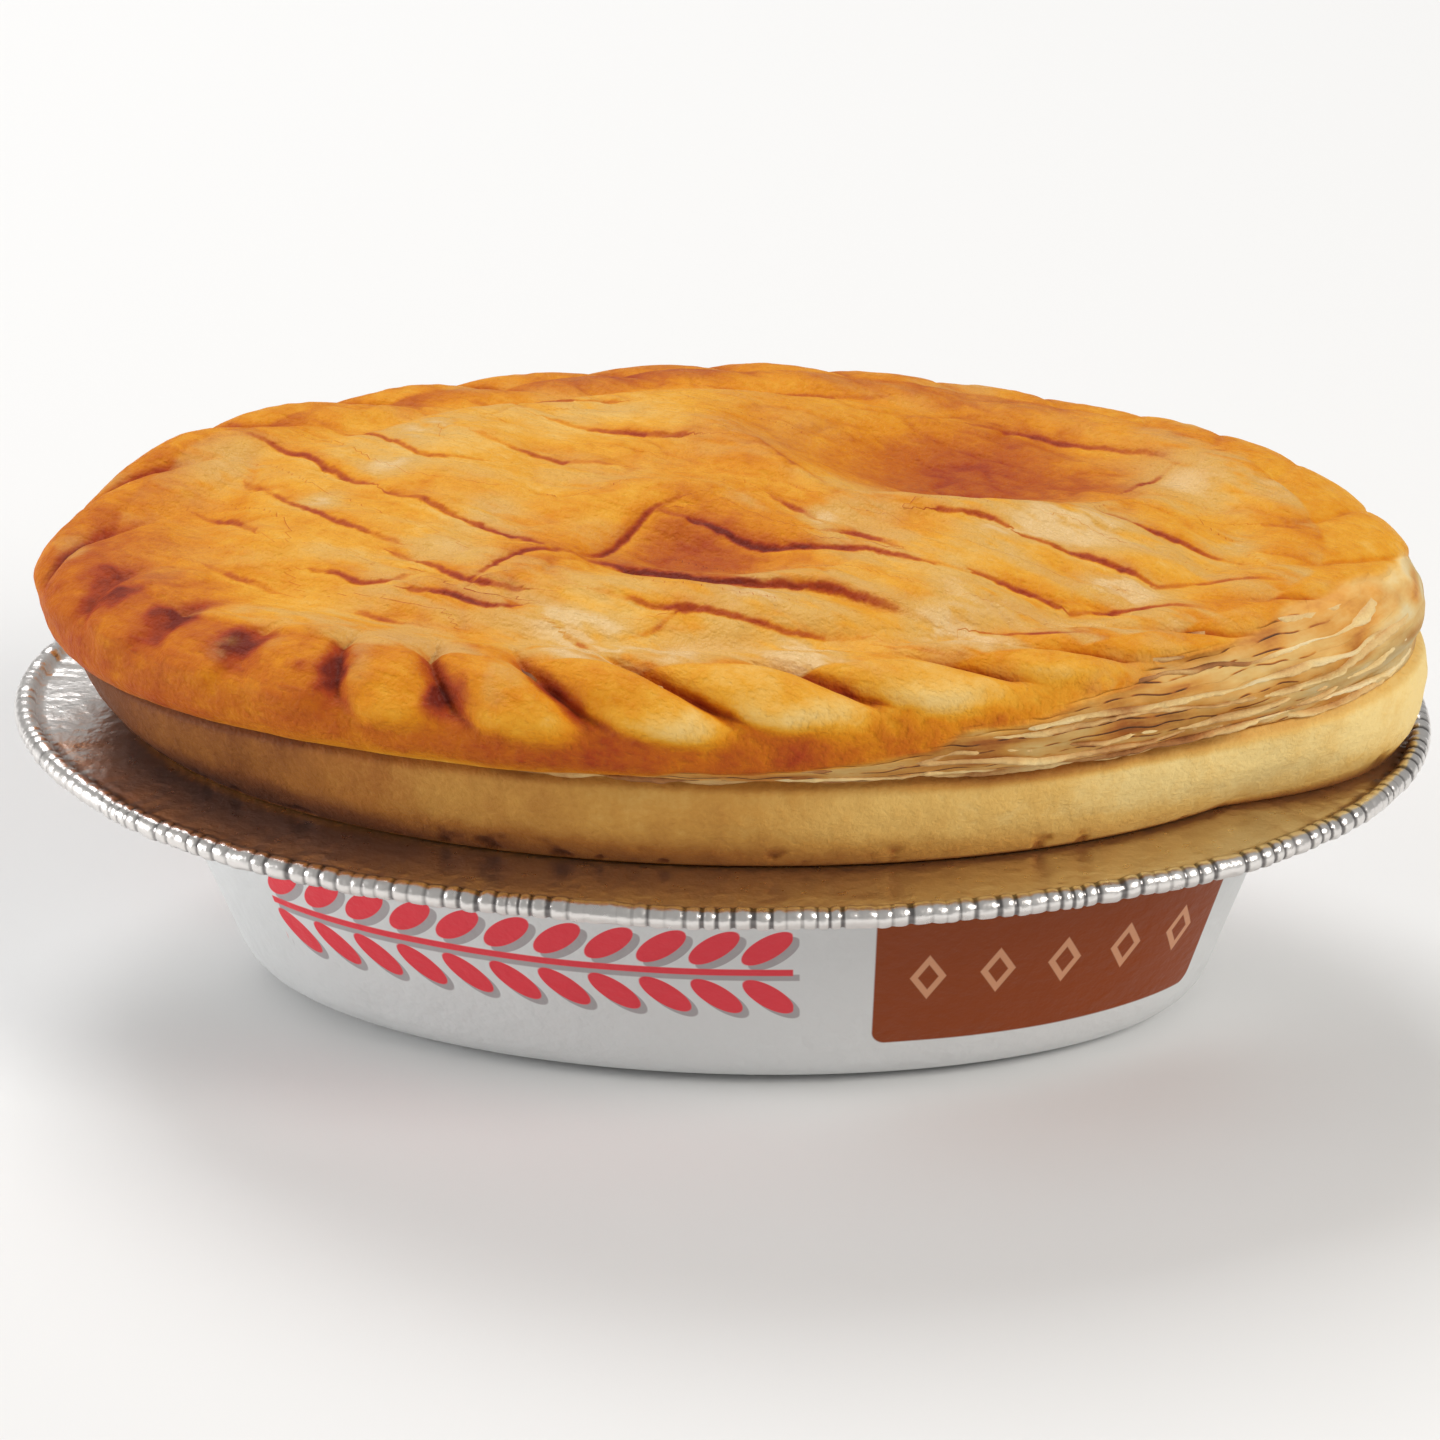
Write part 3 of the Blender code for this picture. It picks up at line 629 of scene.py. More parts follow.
# Knife slashes, creases and the edges of single sheets: how deep each is, and its points (mm).
LINES = (
    (0.5, (-13.5, -15.6), (-9.3, -16.9), (-4.1, -19.7), (1.2, -21.4), (7.8, -21.9), (14.2, -22.3),
     (18.8, -24.4), (25.0, -27.2)),
    (0.35, (6.2, 5.9), (12.0, 0.0), (19.3, -0.9), (25.5, -0.1), (33.7, 1.2), (40.5, 4.2), (44.0, 8.8)),
    (0.8, (-57.6, 20.9), (-48.9, 16.6), (-42.0, 7.9), (-37.0, 3.0)),
    (0.7, (-34.4, 0.1), (-27.5, -5.4), (-21.5, -10.5), (-16.5, -14.3)),
    (0.5, (-46.6, 24.3), (-38.1, 16.9), (-31.6, 7.5), (-25.8, 6.5)),
    (0.5, (-51.2, 8.7), (-44.1, -1.1), (-37.7, -7.9), (-31.8, -11.9)),
    (0.6, (-31.8, -14.3), (-27.2, -17.7), (-23.0, -22.4), (-17.3, -23.8)),
    (0.6, (-39.9, -16.6), (-37.1, -17.8), (-34.6, -20.4), (-32.2, -20.7), (-29.5, -20.3)),
    (0.7, (-28.8, -22.9), (-24.8, -23.7), (-20.3, -26.6), (-18.0, -26.4)),
    (0.4, (-35.8, -24.7), (-32.7, -26.3), (-29.8, -27.9), (-26.9, -29.0)),
    (0.4, (-51.7, -12.6), (-47.7, -15.7), (-43.7, -18.7)),
    (0.4, (-55.2, 2.5), (-51.2, -1.4), (-47.9, -6.3)),
    (0.5, (-22.6, -22.8), (-21.0, -19.7), (-18.6, -16.7), (-15.6, -15.7), (-12.5, -15.6)),
    (0.6, (-9.2, -25.2), (-4.2, -27.5), (1.6, -28.2), (7.2, -29.5), (12.1, -31.0), (18.1, -30.6)),
    (0.3, (-4.7, -31.9), (-2.8, -31.0), (-1.0, -28.9)),
    (0.5, (-11.5, -31.4), (-9.7, -33.0), (-8.0, -34.4)),
    (0.5, (-12.5, -15.6), (-10.3, -14.3), (-8.2, -10.4), (-6.2, -6.4), (-3.4, -4.6)),
    (0.7, (-5.5, -6.1), (0.6, -8.6), (5.5, -12.6), (11.5, -12.8), (17.1, -13.1), (22.0, -15.5),
     (27.7, -17.3)),
    (0.4, (6.3, -2.8), (8.6, -4.8), (10.9, -6.5)),
    (0.5, (12.6, -9.4), (15.0, -9.3), (17.1, -10.2), (19.7, -12.3)),
    (0.9, (28.0, -16.8), (32.9, -18.8), (37.2, -20.7)),
    (0.9, (32.7, -7.8), (38.0, -9.9), (43.0, -12.3), (46.9, -14.4)),
    (0.6, (40.8, 0.6), (45.7, -2.4), (51.0, -5.0), (54.9, -6.4)),
    (0.7, (46.9, -14.8), (53.9, -11.7), (60.6, -11.6), (65.4, -11.8)),
    (0.8, (38.8, -21.2), (42.2, -20.4), (46.2, -19.3), (52.9, -20.2), (55.7, -21.0)),
    (0.8, (30.2, -27.3), (38.3, -28.0), (45.5, -29.9)),
    (0.8, (21.0, -32.5), (27.2, -34.4), (32.7, -36.6), (36.1, -38.7)),
    (0.8, (57.6, -4.3), (61.0, -4.7), (63.8, -5.3), (67.2, -4.6)),
    (0.7, (57.2, 3.0), (60.7, 2.7), (64.1, 3.9)),
    (0.6, (56.9, 9.1), (59.6, 10.8), (63.1, 12.1)),
    (0.7, (23.9, -4.8), (28.3, -4.8), (30.9, -6.4)),
    (0.5, (24.6, 27.4), (30.0, 27.0), (35.5, 24.2), (39.3, 22.7), (44.3, 20.2), (47.3, 17.3)),
    (0.4, (42.2, 10.1), (44.1, 12.9), (47.3, 17.3)),
    (0.5, (-30.0, 30.0), (-22.0, 27.0), (-14.0, 26.0)),
    (0.5, (-20.0, 20.0), (-12.0, 15.0), (-5.0, 13.0)),
    (0.4, (-4.0, 34.0), (5.0, 33.0), (14.0, 34.0)),
    (0.4, (-27.0, 14.0), (-20.0, 8.0), (-12.0, 6.0)),
)
LINE_REACH = 3.0
LINE_DRAW_REACH, LINE_PLATE_REACH = 1.5, 3.0
LINE_DRAW, LINE_PLATE = 0.95, 0.45

# Deep brown marks where fingers have pinched the left edge: each at an angle and a turn of the
# side's rounding, with its half width and half height in degrees, and how dark it is.
MARKS = (
    (205.5, 74.0, 2.4, 20.0, 0.75), (214.5, 84.0, 3.0, 36.0, 1.0), (226.5, 72.0, 2.7, 27.0, 1.0),
    (237.8, 62.0, 2.1, 29.0, 1.0), (250.0, 44.0, 2.0, 20.0, 0.95), (197.0, 84.0, 2.6, 22.0, 0.45),
)

# Pale places on the sheet, tan and, where strongest, lit with a painted greasy sheen: centre x and y, reach
# (mm), and how pale.
PALE_AND_SHEEN_SPOTS = (
    (-41.5, -0.2, 2.6, 1.3), (-32.9, 16.2, 4.5, 1.0), (-35.9, 7.5, 3.6, 1.0), (-54.0, 12.9, 4.0, 0.7),
    (-41.0, 12.9, 3.0, 0.6), (-23.1, -4.7, 3.0, 0.9), (-24.2, -13.4, 6.0, 0.4), (-16.1, 24.1, 5.0, 0.6),
    (-10.2, -30.8, 5.5, 0.7), (-32.7, -24.0, 3.5, 0.6), (16.5, -4.4, 4.0, 0.9), (11.9, -6.1, 2.0, 1.0),
    (-8.8, -36.5, 3.0, 1.0), (0.1, -34.8, 3.0, 1.0), (13.8, -34.6, 4.0, 1.2), (18.1, -40.0, 2.2, 1.1),
    (23.9, -27.7, 3.0, 0.9), (30.7, -9.4, 3.5, 0.8), (27.9, -29.2, 4.5, 0.7), (53.7, -1.7, 3.0, 1.4),
    (43.2, -16.1, 3.5, 0.9), (36.7, -4.6, 4.5, 0.8), (46.3, 12.4, 4.0, 0.7), (62.5, 15.9, 4.0, 0.6),
    (20.0, -18.0, 5.0, 0.5), (6.0, -24.5, 5.0, 0.4),
)

# Where the oven has browned the top more or less: centre x and y, reach (mm), and how much.
BROWNING = (
    (-62.0, -8.0, 14.0, 0.20), (-54.0, 14.0, 12.0, 0.05), (-20.0, 40.0, 12.0, 0.12), (4.0, 44.0, 14.0, 0.10),
    (34.0, 40.0, 20.0, 0.10), (-1.0, -14.5, 8.0, 0.15), (-28.0, 18.0, 18.0, -0.10), (-42.0, 2.0, 14.0, -0.04),
    (6.0, -24.0, 14.0, -0.02), (46.0, -8.0, 16.0, -0.09), (25.0, 14.0, 12.0, 0.12),
    (-12.0, -30.0, 10.0, -0.03),
    (0.0, 10.0, 10.0, 0.06), (52.0, 14.0, 12.0, -0.06), (-36.0, 31.0, 6.0, 0.16), (-15.0, 38.0, 6.0, 0.12),
    (-52.0, 24.0, 6.0, 0.14), (-6.0, 40.0, 6.0, 0.10), (-4.0, -8.0, 5.0, 0.14), (30.0, 22.0, 12.0, 0.06),
    (-18.0, -22.0, 6.5, 0.07),
)

# How brown the lid is: 0 is pale, 1 is burnt. Each amount adds to the tone or takes from it. The
# amounts named painted are painted light and shade: shade under the front rolls and in the wrinkle
# valleys of the top, light on the front rolls' upper faces and a highlight on their tips.
SIDE_TONE = 0.45
LEFT_SIDE_TONE = 0.23
BACK_SIDE_TONE = 0.06
RIGHT_SIDE_PALE = 0.08
FRONT_ROLL_PAINTED_LIGHT = 0.13
UNDER_ROLL_PAINTED_SHADE = 0.27
ROLL_EDGE_TONE = 0.10
TIP_PAINTED_HIGHLIGHT = 0.26
SEAM_PALE = 0.10
GROOVE_TONE = 0.33
LEFT_GROOVE_FADE = 0.27
MARK_TONE = 0.41
TORN_TONE = 0.40
TORN_RIGHT_PALE = 0.22
TOP_TONE = 0.37
TOP_EDGE_TONE = 0.10
LINE_TONE = 0.10
HOLLOW_TONE = 0.15
VALLEY_PAINTED_SHADE = 0.08
FOLD_TONE, FOLD_UPPER_TONE = 0.16, 0.06
POLE_TONE = 0.5

# Relief of the top, in millimetres.
VALLEY_DEPTH = 0.26
FOLD_RISE, FOLD_DROP = 0.60, 0.35

# Layers of noise on the lid.
LEAF_TOP_VARIES = (8.0, 4.0, 21)
TIP_VARIES = (6.0, 6.0, 40)
SIDE_LUMPS = ((0.30, 9.0, 22), (0.15, 3.2, 23), (0.06, 1.1, 24))
SIDE_MOTTLE = ((0.09, 6.0, 28), (0.05, 1.5, 29))
SIDE_PALE_AND_SHEEN = (1.0, 5.0, 43)
PINCH_VARIES = (0.35, 2.0, 41)
BLOTCHES = (0.45, 1.8, 49)
MARK_EDGES = (1.6, 1.6, 51)
TORN_MOTTLE = (0.30, 1.6, 42)
WRINKLES = (1.0, 2.3, 32)
WRINKLE_BENDS = (0.6, 3.1, 44)
WRINKLE_PLACES = (1.0, 8.0, 45)
TOP_SWELLS = (0.55, 11.0, 31)
TOP_STREAKS = (0.22, 2.1, 46)
TOP_LUMPS = ((0.14, 2.6, 33), (0.05, 1.0, 34))
TOP_MOTTLE = (0.09, 9.0, 35)
TOP_STREAK_TONES = (0.06, 3.0, 36)
FOLD_EDGES = (0.25, 1.6, 47)
PALE_AND_SHEEN_STREAKS = (1.0, 3.0, 37)
PALE_AND_SHEEN_AREAS = (0.5, 7.0, 38)
GRAIN_STRETCH = 3.4


def periodic(table, degrees, scale=1.0):
    """Smooth value at an angle, from a table of values at a few angles round the pie."""
    knots = np.array(sorted(table), dtype=float)
    values = np.array([table[int(k)] for k in knots]) * scale
    knots = np.concatenate((knots[-1:] - 360.0, knots, knots[:1] + 360.0))
    values = np.concatenate((values[-1:], values, values[:1]))
    degrees = np.mod(degrees - knots[0], 360.0) + knots[0]
    place = np.clip(np.searchsorted(knots, degrees, side="right") - 1, 0, len(knots) - 2)
    part = (degrees - knots[place]) / (knots[place + 1] - knots[place])
    ease = part * part * (3.0 - 2.0 * part)
    return values[place] * (1.0 - ease) + values[place + 1] * ease


def lid_offset(degrees):
    """How far the lid's side stands out at its widest."""
    return (LID_OVERHANG + LID_PUFF * bump(degrees, -7.0, 40.0)
            - BACK_TUCK * bump(degrees, 32.0, 45.0))


def lid_crest(degrees):
    """How far the crest of the lid's edge stands out, where its side has rounded into its top."""
    return lid_offset(degrees) - LID_ROUNDING - RIGHT_ROUNDING * bump(degrees, 2.0, 60.0)


def lid_side(degrees, turn_rad):
    """Lid's side before it is crimped: how far out it is, and how high."""
    edge = periodic(EDGE_HEIGHTS, degrees, MM)
    middle = seam_height(degrees) + GAP / 2 + LID_WIDEST
    rise = np.where(turn_rad > 0.0, edge - middle, LID_UNDERCUT) * np.sin(turn_rad)
    crest = lid_crest(degrees)
    offset = crest + (lid_offset(degrees) - crest) * np.cos(turn_rad)
    offset = np.where(turn_rad < 0.0, np.maximum(offset, seam_offset(degrees) - 0.3 * MM), offset)
    return offset, middle + rise


def from_groove(share):
    """How far a share of the edge is from the middle of its crimp: 0 there, 1 in the groove."""
    return np.abs(2.0 * np.mod(share * CRIMPS, 1.0) - 1.0)


def line_distance(x, y, line):
    """Distance in mm to a line of points, the side of it, and how near the ends of the line are."""
    nearest, side, ends = np.full(x.shape, 99.0), np.ones(x.shape), np.zeros(x.shape)
    for (ax, ay), (bx, by) in zip(line, line[1:]):
        dx, dy = bx - ax, by - ay
        px, py = x / MM - ax, y / MM - ay
        t = np.clip((px * dx + py * dy) / (dx * dx + dy * dy), 0.0, 1.0)
        away = np.hypot(px - t * dx, py - t * dy)
        closer = away < nearest
        nearest = np.where(closer, away, nearest)
        side = np.where(closer, np.where(px * dy - py * dx > 0.0, 1.0, -1.0), side)
    ends = np.minimum(np.hypot(x / MM - line[0][0], y / MM - line[0][1]),
                      np.hypot(x / MM - line[-1][0], y / MM - line[-1][1]))
    return nearest, side, ends


def line_pieces():
    """Short straight pieces of all lines, after rounding their corners, and how deep each piece is."""
    starts, ends, depths = [], [], []
    for depth, *line in LINES:
        line = np.array(line)
        for _ in range(2):
            near, far = 0.75 * line[:-1] + 0.25 * line[1:], 0.25 * line[:-1] + 0.75 * line[1:]
            corners = np.stack((near, far), axis=1).reshape(-1, 2)
            line = np.vstack((line[:1], corners[1:-1], line[-1:]))
        along = (np.arange(len(line) - 1) + 0.5) / (len(line) - 1)
        starts.append(line[:-1])
        ends.append(line[1:])
        depths.append(depth * np.sin(math.pi * along) ** 0.45)
    return np.vstack(starts), np.vstack(ends), np.concatenate(depths)


LINE_STARTS, LINE_ENDS, LINE_DEPTHS = line_pieces()


def nearest_line(x, y):
    """Distance in mm to the nearest line, with a minus sign behind it, and how deep that line is."""
    run = LINE_ENDS - LINE_STARTS
    px = x[None, :] / MM - LINE_STARTS[:, :1]
    py = y[None, :] / MM - LINE_STARTS[:, 1:]
    part = np.clip((px * run[:, :1] + py * run[:, 1:]) / (run ** 2).sum(axis=1)[:, None], 0.0, 1.0)
    away = np.hypot(px - part * run[:, :1], py - part * run[:, 1:])
    nearest = np.argmin(away, axis=0)
    each = np.arange(len(x))
    front = px[nearest, each] * run[nearest, 1] - py[nearest, each] * run[nearest, 0] > 0.0
    away = np.minimum(away[nearest, each], LINE_REACH)
    return np.where(front, away, -away), LINE_DEPTHS[nearest]


def marks(degrees, turn):
    """How much of a pinch mark is at each place; turn goes on past the crest by the same pace."""
    total = np.zeros(degrees.shape)
    for centre, level, wide, high, dark in MARKS:
        u = ((degrees - centre + 180.0) % 360.0 - 180.0) / wide
        v = (turn - level) / high
        total = np.maximum(total, dark * np.exp(-(u * u + v * v) ** 1.6))
    return total


def spots(x, y, table):
    """Sum of soft round spots, each with its centre, reach and amount."""
    return sum(amount * np.exp(-((x / MM - cx) ** 2 + (y / MM - cy) ** 2) / reach ** 2)
               for cx, cy, reach, amount in table)


def lid_relief(x, y):
    """Height added to the lid's top by its hollows and ridges, and how far each place is in a hollow."""
    rise, hollow = np.zeros(x.shape), np.zeros(x.shape)
    for cx, cy, long, wide, turn, height in LID_FORMS:
        c, s = math.cos(math.radians(turn)), math.sin(math.radians(turn))
        u = ((x - cx * MM) * c + (y - cy * MM) * s) / (long * MM)
        v = ((y - cy * MM) * c - (x - cx * MM) * s) / (wide * MM)
        form = np.exp(-(u * u + v * v) ** 1.5)
        rise = rise + height * MM * form
        if height < 0.0:
            hollow = np.maximum(hollow, form)
    return rise, hollow


crimp_pitch = oval_length(LID_OVERHANG / 2)[1][-1] / CRIMPS
lid_share = np.arange(CRIMPS * COLUMNS_PER_CRIMP) / (CRIMPS * COLUMNS_PER_CRIMP)
lid_rows, lid_bake, lid_leaf, lid_pale_and_sheen, lid_line, lid_depth = [], [], [], [], [], []


def add_lid_row(points, bake, leaf, pale, line=LINE_REACH, depth=0.0):
    lid_rows.append(points)
    for rows, values in ((lid_bake, bake), (lid_leaf, leaf), (lid_pale_and_sheen, pale), (lid_line, line),
                         (lid_depth, depth)):
        rows.append(np.broadcast_to(values, len(points)))


def crimped_angles(share, path):
    """Angles of the lid's columns where the crimps have run a path outwards from the crest."""
    crest = even_angles(share, LID_OVERHANG / 2)
    slant = periodic(CRIMP_SLANT, crest) * path / crimp_pitch
    return even_angles(share + (slant + periodic(CRIMP_DRIFT, crest)) / CRIMPS, LID_OVERHANG / 2)


def roll_shape(away):
    """Height across a roll of the edge: broad and round, with narrow grooves between the rolls."""
    return 0.45 - away ** 2.6


def leafing(degrees, turn, points):
    """1 where the lid's layers have come apart, 0 where its crimped edge is whole."""
    return smooth(periodic(LEAF_TOP, degrees) + lumps(points, LEAF_TOP_VARIES) - turn, -7.0, 7.0)


def groove_tone(degrees):
    """How much browner the grooves are: least at the left, which has the pinch marks instead."""
    return GROOVE_TONE - LEFT_GROOVE_FADE * bump(degrees, 222.0, 42.0)


def blotches(points):
    """Unevenness of the deepest brown."""
    return 0.75 + lumps(points, BLOTCHES)


def mark_tone(degrees, turn, points):
    """Browning by the pinch marks, which have ragged edges."""
    return MARK_TONE * marks(degrees + lumps(points, MARK_EDGES), turn) * blotches(points)


def lid_side_row(turn):
    """Row of the lid's side: rolls that end in rounded tips, and the pinches between them."""
    turn_rad = math.radians(turn)
    columns = crimped_angles(lid_share, LID_ROUNDING * (math.radians(90.0) - turn_rad))
    offset, height = lid_side(columns, turn_rad)
    here = ring(columns, offset, height)
    leaf = leafing(columns, turn, here)
    away = from_groove(lid_share)
    strength = periodic(CRIMP_STRENGTH, columns) * (1.0 - leaf)
    tip = periodic(CRIMP_TIPS, columns) + 22.0 * away ** 2 + lumps(here, TIP_VARIES)
    envelope = smooth(turn - tip, -9.0, 11.0) * np.interp(turn, (60.0, 90.0), (1.0, 0.8))
    plump = np.exp(-((turn - tip - 10.0) / 13.0) ** 2) * (1.0 - away ** 2)
    width = periodic(PINCH_WIDTHS, columns) * (1.0 + lumps(here, PINCH_VARIES))
    pinch = np.exp(-(((1.0 - away) / 2.0) / width) ** 4) * envelope * np.minimum(strength * 1.6, 1.0)
    depth = CRIMP_DEPTH - LEFT_CRIMP_LOSS * bump(columns, 218.0, 42.0)
    swell = strength * (depth * roll_shape(away) * envelope + TIP_PLUMPNESS * plump)
    swell = swell + MM * lumps(here, *SIDE_LUMPS) - PINCH_DEPTH * pinch
    offset = offset + swell * max(math.cos(turn_rad), 0.25) - LEAF_SET_BACK * leaf
    height = height + swell * max(math.sin(turn_rad), 0.0)
    under = (1.0 - envelope) * smooth(turn, -40.0, -8.0) * (1.0 - smooth(turn, 30.0, 60.0))
    bake = SIDE_TONE + LEFT_SIDE_TONE * bump(columns, 205.0, 65.0) + lumps(here, *SIDE_MOTTLE)
    bake = bake + BACK_SIDE_TONE * bump(columns, 100.0, 60.0) - RIGHT_SIDE_PALE * bump(columns, 5.0, 40.0)
    # Painted shade on the under side of the front rolls.
    bake = bake + UNDER_ROLL_PAINTED_SHADE * under * bump(columns, 270.0, 50.0)
    bake = bake + ROLL_EDGE_TONE * smooth(away, 0.45, 1.0) * envelope * strength
    bake = bake + groove_tone(columns) * pinch * blotches(here) + mark_tone(columns, turn, here)
    # Painted highlight on the plump tips of the front rolls.
    bake = bake - TIP_PAINTED_HIGHLIGHT * plump * bump(columns, 285.0, 50.0) - SEAM_PALE * smooth(-turn, 15.0, 60.0)
    # Painted light on the upper faces of the front rolls, away from the pinches.
    front = bump(columns, 284.0, 34.0) * smooth(turn, 5.0, 40.0)
    bake = bake - FRONT_ROLL_PAINTED_LIGHT * front * (1.0 - pinch)
    torn_tone = TORN_TONE + lumps(here * (0.35, 0.35, 1.5), TORN_MOTTLE)
    torn_tone = torn_tone - TORN_RIGHT_PALE * bump(columns, 355.0, 30.0)
    bake = bake * (1.0 - leaf) + leaf * torn_tone
    pale = 0.5 * smooth(lumps(here, SIDE_PALE_AND_SHEEN), 0.2, 0.8) * (1.0 - pinch) * (1.0 - leaf)
    add_lid_row(ring(columns, offset, height), bake, leaf, pale * smooth(turn, 10.0, 50.0))


def fold_steps(here, inner):
    """Relief (mm) and browning of the folds: a soft step down from the edge of the upper sheet."""
    relief, tone = np.zeros(len(here)), np.zeros(len(here))
    for line in FOLDS:
        near, side, ends = line_distance(here[:, 0], here[:, 1], line)
        near = lumps(here, FOLD_EDGES) - near * side
        fold = smooth(ends, 0.0, 6.0) * inner
        step = smooth(near, -0.7, 0.7)
        upper = np.exp(-(np.maximum(near, 0.0) / 2.8) ** 2) * step
        lower = np.exp(-(np.minimum(near, 0.0) / 2.0) ** 2) * (1.0 - step)
        relief = relief + fold * (FOLD_RISE * upper - FOLD_DROP * lower)
        tone = tone + fold * (FOLD_TONE * np.exp(-((near + 0.2) / 0.75) ** 2) + FOLD_UPPER_TONE * upper)
    return relief, tone


def top_surface(here, inner, hollow):
    """Fine relief (mm), browning with painted shade in its wrinkle valleys, paleness with its painted sheen
    where strongest, and its nearest line with its depth.
    """
    x, y = here[:, 0], here[:, 1]
    c, s = math.cos(GRAIN_ANGLE), math.sin(GRAIN_ANGLE)
    turned = np.column_stack(((x * c + y * s) / GRAIN_STRETCH, y * c - x * s, here[:, 2]))
    rift, depth = nearest_line(x, y)
    depth = depth * inner
    draw = depth * np.exp(-np.abs(rift) / LINE_DRAW_REACH)
    plate = depth * np.exp(-np.abs(rift) / LINE_PLATE_REACH) * smooth(-rift, -0.4, 0.4)
    wrinkle = lumps(turned, WRINKLES) + lumps(here, WRINKLE_BENDS)
    valley = (1.0 - smooth(np.abs(wrinkle), 0.0, 0.34)) * smooth(lumps(here, WRINKLE_PLACES), -0.5, 0.3)
    relief = (lumps(here, TOP_SWELLS) + lumps(turned, TOP_STREAKS) + lumps(here, *TOP_LUMPS)
              - VALLEY_DEPTH * valley) * (0.4 + 0.6 * inner)
    fold_relief, fold_tone = fold_steps(here, inner)
    relief = relief - LINE_DRAW * draw + LINE_PLATE * plate + fold_relief
    browned = spots(x, y, BROWNING)
    bake = TOP_TONE + lumps(here, TOP_MOTTLE) + lumps(turned, TOP_STREAK_TONES) + browned + fold_tone
    # The valleys of the wrinkles are darkened with painted shade.
    bake = bake + LINE_TONE * draw + HOLLOW_TONE * hollow + VALLEY_PAINTED_SHADE * valley
    pale = 0.95 * smooth(lumps(turned, PALE_AND_SHEEN_STREAKS) + lumps(here, PALE_AND_SHEEN_AREAS), -0.6, 0.5)
    pale = pale * (0.55 + 0.70 * smooth((0.4 * x - 0.9 * y) / MM, -20.0, 25.0))
    pale = pale * (1.0 - 0.8 * hollow) * np.clip(0.85 - 3.0 * browned, 0.1, 1.0) * (1.0 - draw)
    return relief, bake, np.clip(pale + spots(x, y, PALE_AND_SHEEN_SPOTS), 0.0, 1.5), rift, depth


def lid_top_row(part, halving):
    """Row of the lid's top, part of the way from its middle to the crest of its crimped edge."""
    share = lid_share[::halving]
    degrees = crimped_angles(share, -min((1.0 - part) * MOUTH_B, 6.0 * MM))
    x, y = (oval(degrees, lid_crest(degrees)) * part).T
    here = np.column_stack((x, y, np.full(x.shape, CROWN_HEIGHT)))
    blend = part ** 2.4
    height = CROWN_HEIGHT * (1.0 - blend) + periodic(EDGE_HEIGHTS, degrees, MM) * blend
    height = height - INNER_DIP * np.exp(-((part - 0.84) / 0.06) ** 2)
    rise, hollow = lid_relief(x, y)
    inner = float(np.clip((1.0 - part) / 0.2, 0.0, 1.0))
    height = height + rise * inner
    away = from_groove(share)
    strength = periodic(CRIMP_STRENGTH, degrees) * 0.8
    strength = strength * smooth(part, 0.82 + 0.13 * bump(degrees, 222.0, 45.0), 0.99)
    height = height + CRIMP_DEPTH * roll_shape(away) * strength
    relief, bake, pale, rift, depth = top_surface(here, inner, hollow)
    pinch = np.exp(-(((1.0 - away) / 2.0) / periodic(PINCH_WIDTHS, degrees)) ** 2) * strength
    turn = 90.0 + (1.0 - part) * np.degrees(np.hypot(x, y) / part / LID_ROUNDING)
    bake = bake + groove_tone(degrees) * pinch * smooth(part, 0.90, 0.99) + mark_tone(degrees, turn, here)
    bake = bake + TOP_EDGE_TONE * smooth(part, 0.86, 1.0)
    add_lid_row(np.column_stack((x, y, height + relief * MM)), bake, 0.0, pale, rift, depth)


# The lid's rows, from the middle of its under side out, up its side and in over its top. The rows
# have half the columns from one limit inwards, and a quarter of them from the next.
add_lid_row(np.array([[0.0, 0.0, SEAM_HEIGHT + GAP / 2]]), POLE_TONE, 0.0, 0.0)
for turn in np.linspace(-65.0, 90.0, 52):
    lid_side_row(turn)

# The side's first row stays a little below its second.
lid_rows[1][:, 2] = np.minimum(lid_rows[1][:, 2], lid_rows[2][:, 2] - 0.15 * MM)
for outer, inmost, steps, halving in ((1.0, 0.70, 28, 1), (0.70, 0.28, 46, 2), (0.28, 0.01, 25, 4)):
    for part in np.linspace(outer, inmost, steps + 1)[1:]:
        lid_top_row(part, halving)
add_lid_row(lid_rows[-1].mean(axis=0, keepdims=True), lid_bake[-1].mean(), 0.0, lid_pale_and_sheen[-1].mean())
lid_piece = skin("puff_pastry_lid", [lid_rows], "puff_pastry", bake=lid_bake, leaf=lid_leaf, pale=lid_pale_and_sheen,
                 line=lid_line, depth=lid_depth)
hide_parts("lid")

# Colours from pale to burnt, of the lid and of its opened layers, and of the lid's pale patches:
# tan, and a painted sheen where they are strongest.
LID_COLOURS = ((0.0, (0.84, 0.60, 0.24)), (0.18, (0.80, 0.47, 0.110)), (0.33, (0.76, 0.350, 0.026)),
               (0.47, (0.68, 0.240, 0.006)), (0.62, (0.52, 0.130, 0.005)), (0.80, (0.37, 0.050, 0.008)),
               (1.0, (0.16, 0.016, 0.006)))
LAYER_COLOURS = ((0.0, (0.86, 0.68, 0.36)), (0.2, (0.84, 0.55, 0.20)), (0.42, (0.76, 0.37, 0.085)),
                 (0.62, (0.50, 0.16, 0.035)), (0.82, (0.22, 0.085, 0.035)), (1.0, (0.10, 0.045, 0.022)))
PATCH_TAN = (0.66, 0.385, 0.100)
PATCH_PAINTED_SHEEN = (0.82, 0.64, 0.38)
LAYER_PITCH = 1.05

lid_finish = Finish("puff_pastry")
lid_spot = lid_finish.place()
lid_grain = lid_finish.place((0.3, 1.0, 1.0), GRAIN_ANGLE)
lid_fine = lid_finish.noise(lid_spot, 0.55, 3.0, 0.6)
lid_broad = lid_finish.noise(lid_spot, 2.4, 2.0, 0.6)
lid_streak = lid_finish.noise(lid_grain, 0.9, 2.0)
lid_strata = lid_finish.noise(lid_finish.place((0.16, 0.16, 1.0)), 0.5, 2.0, 0.6)
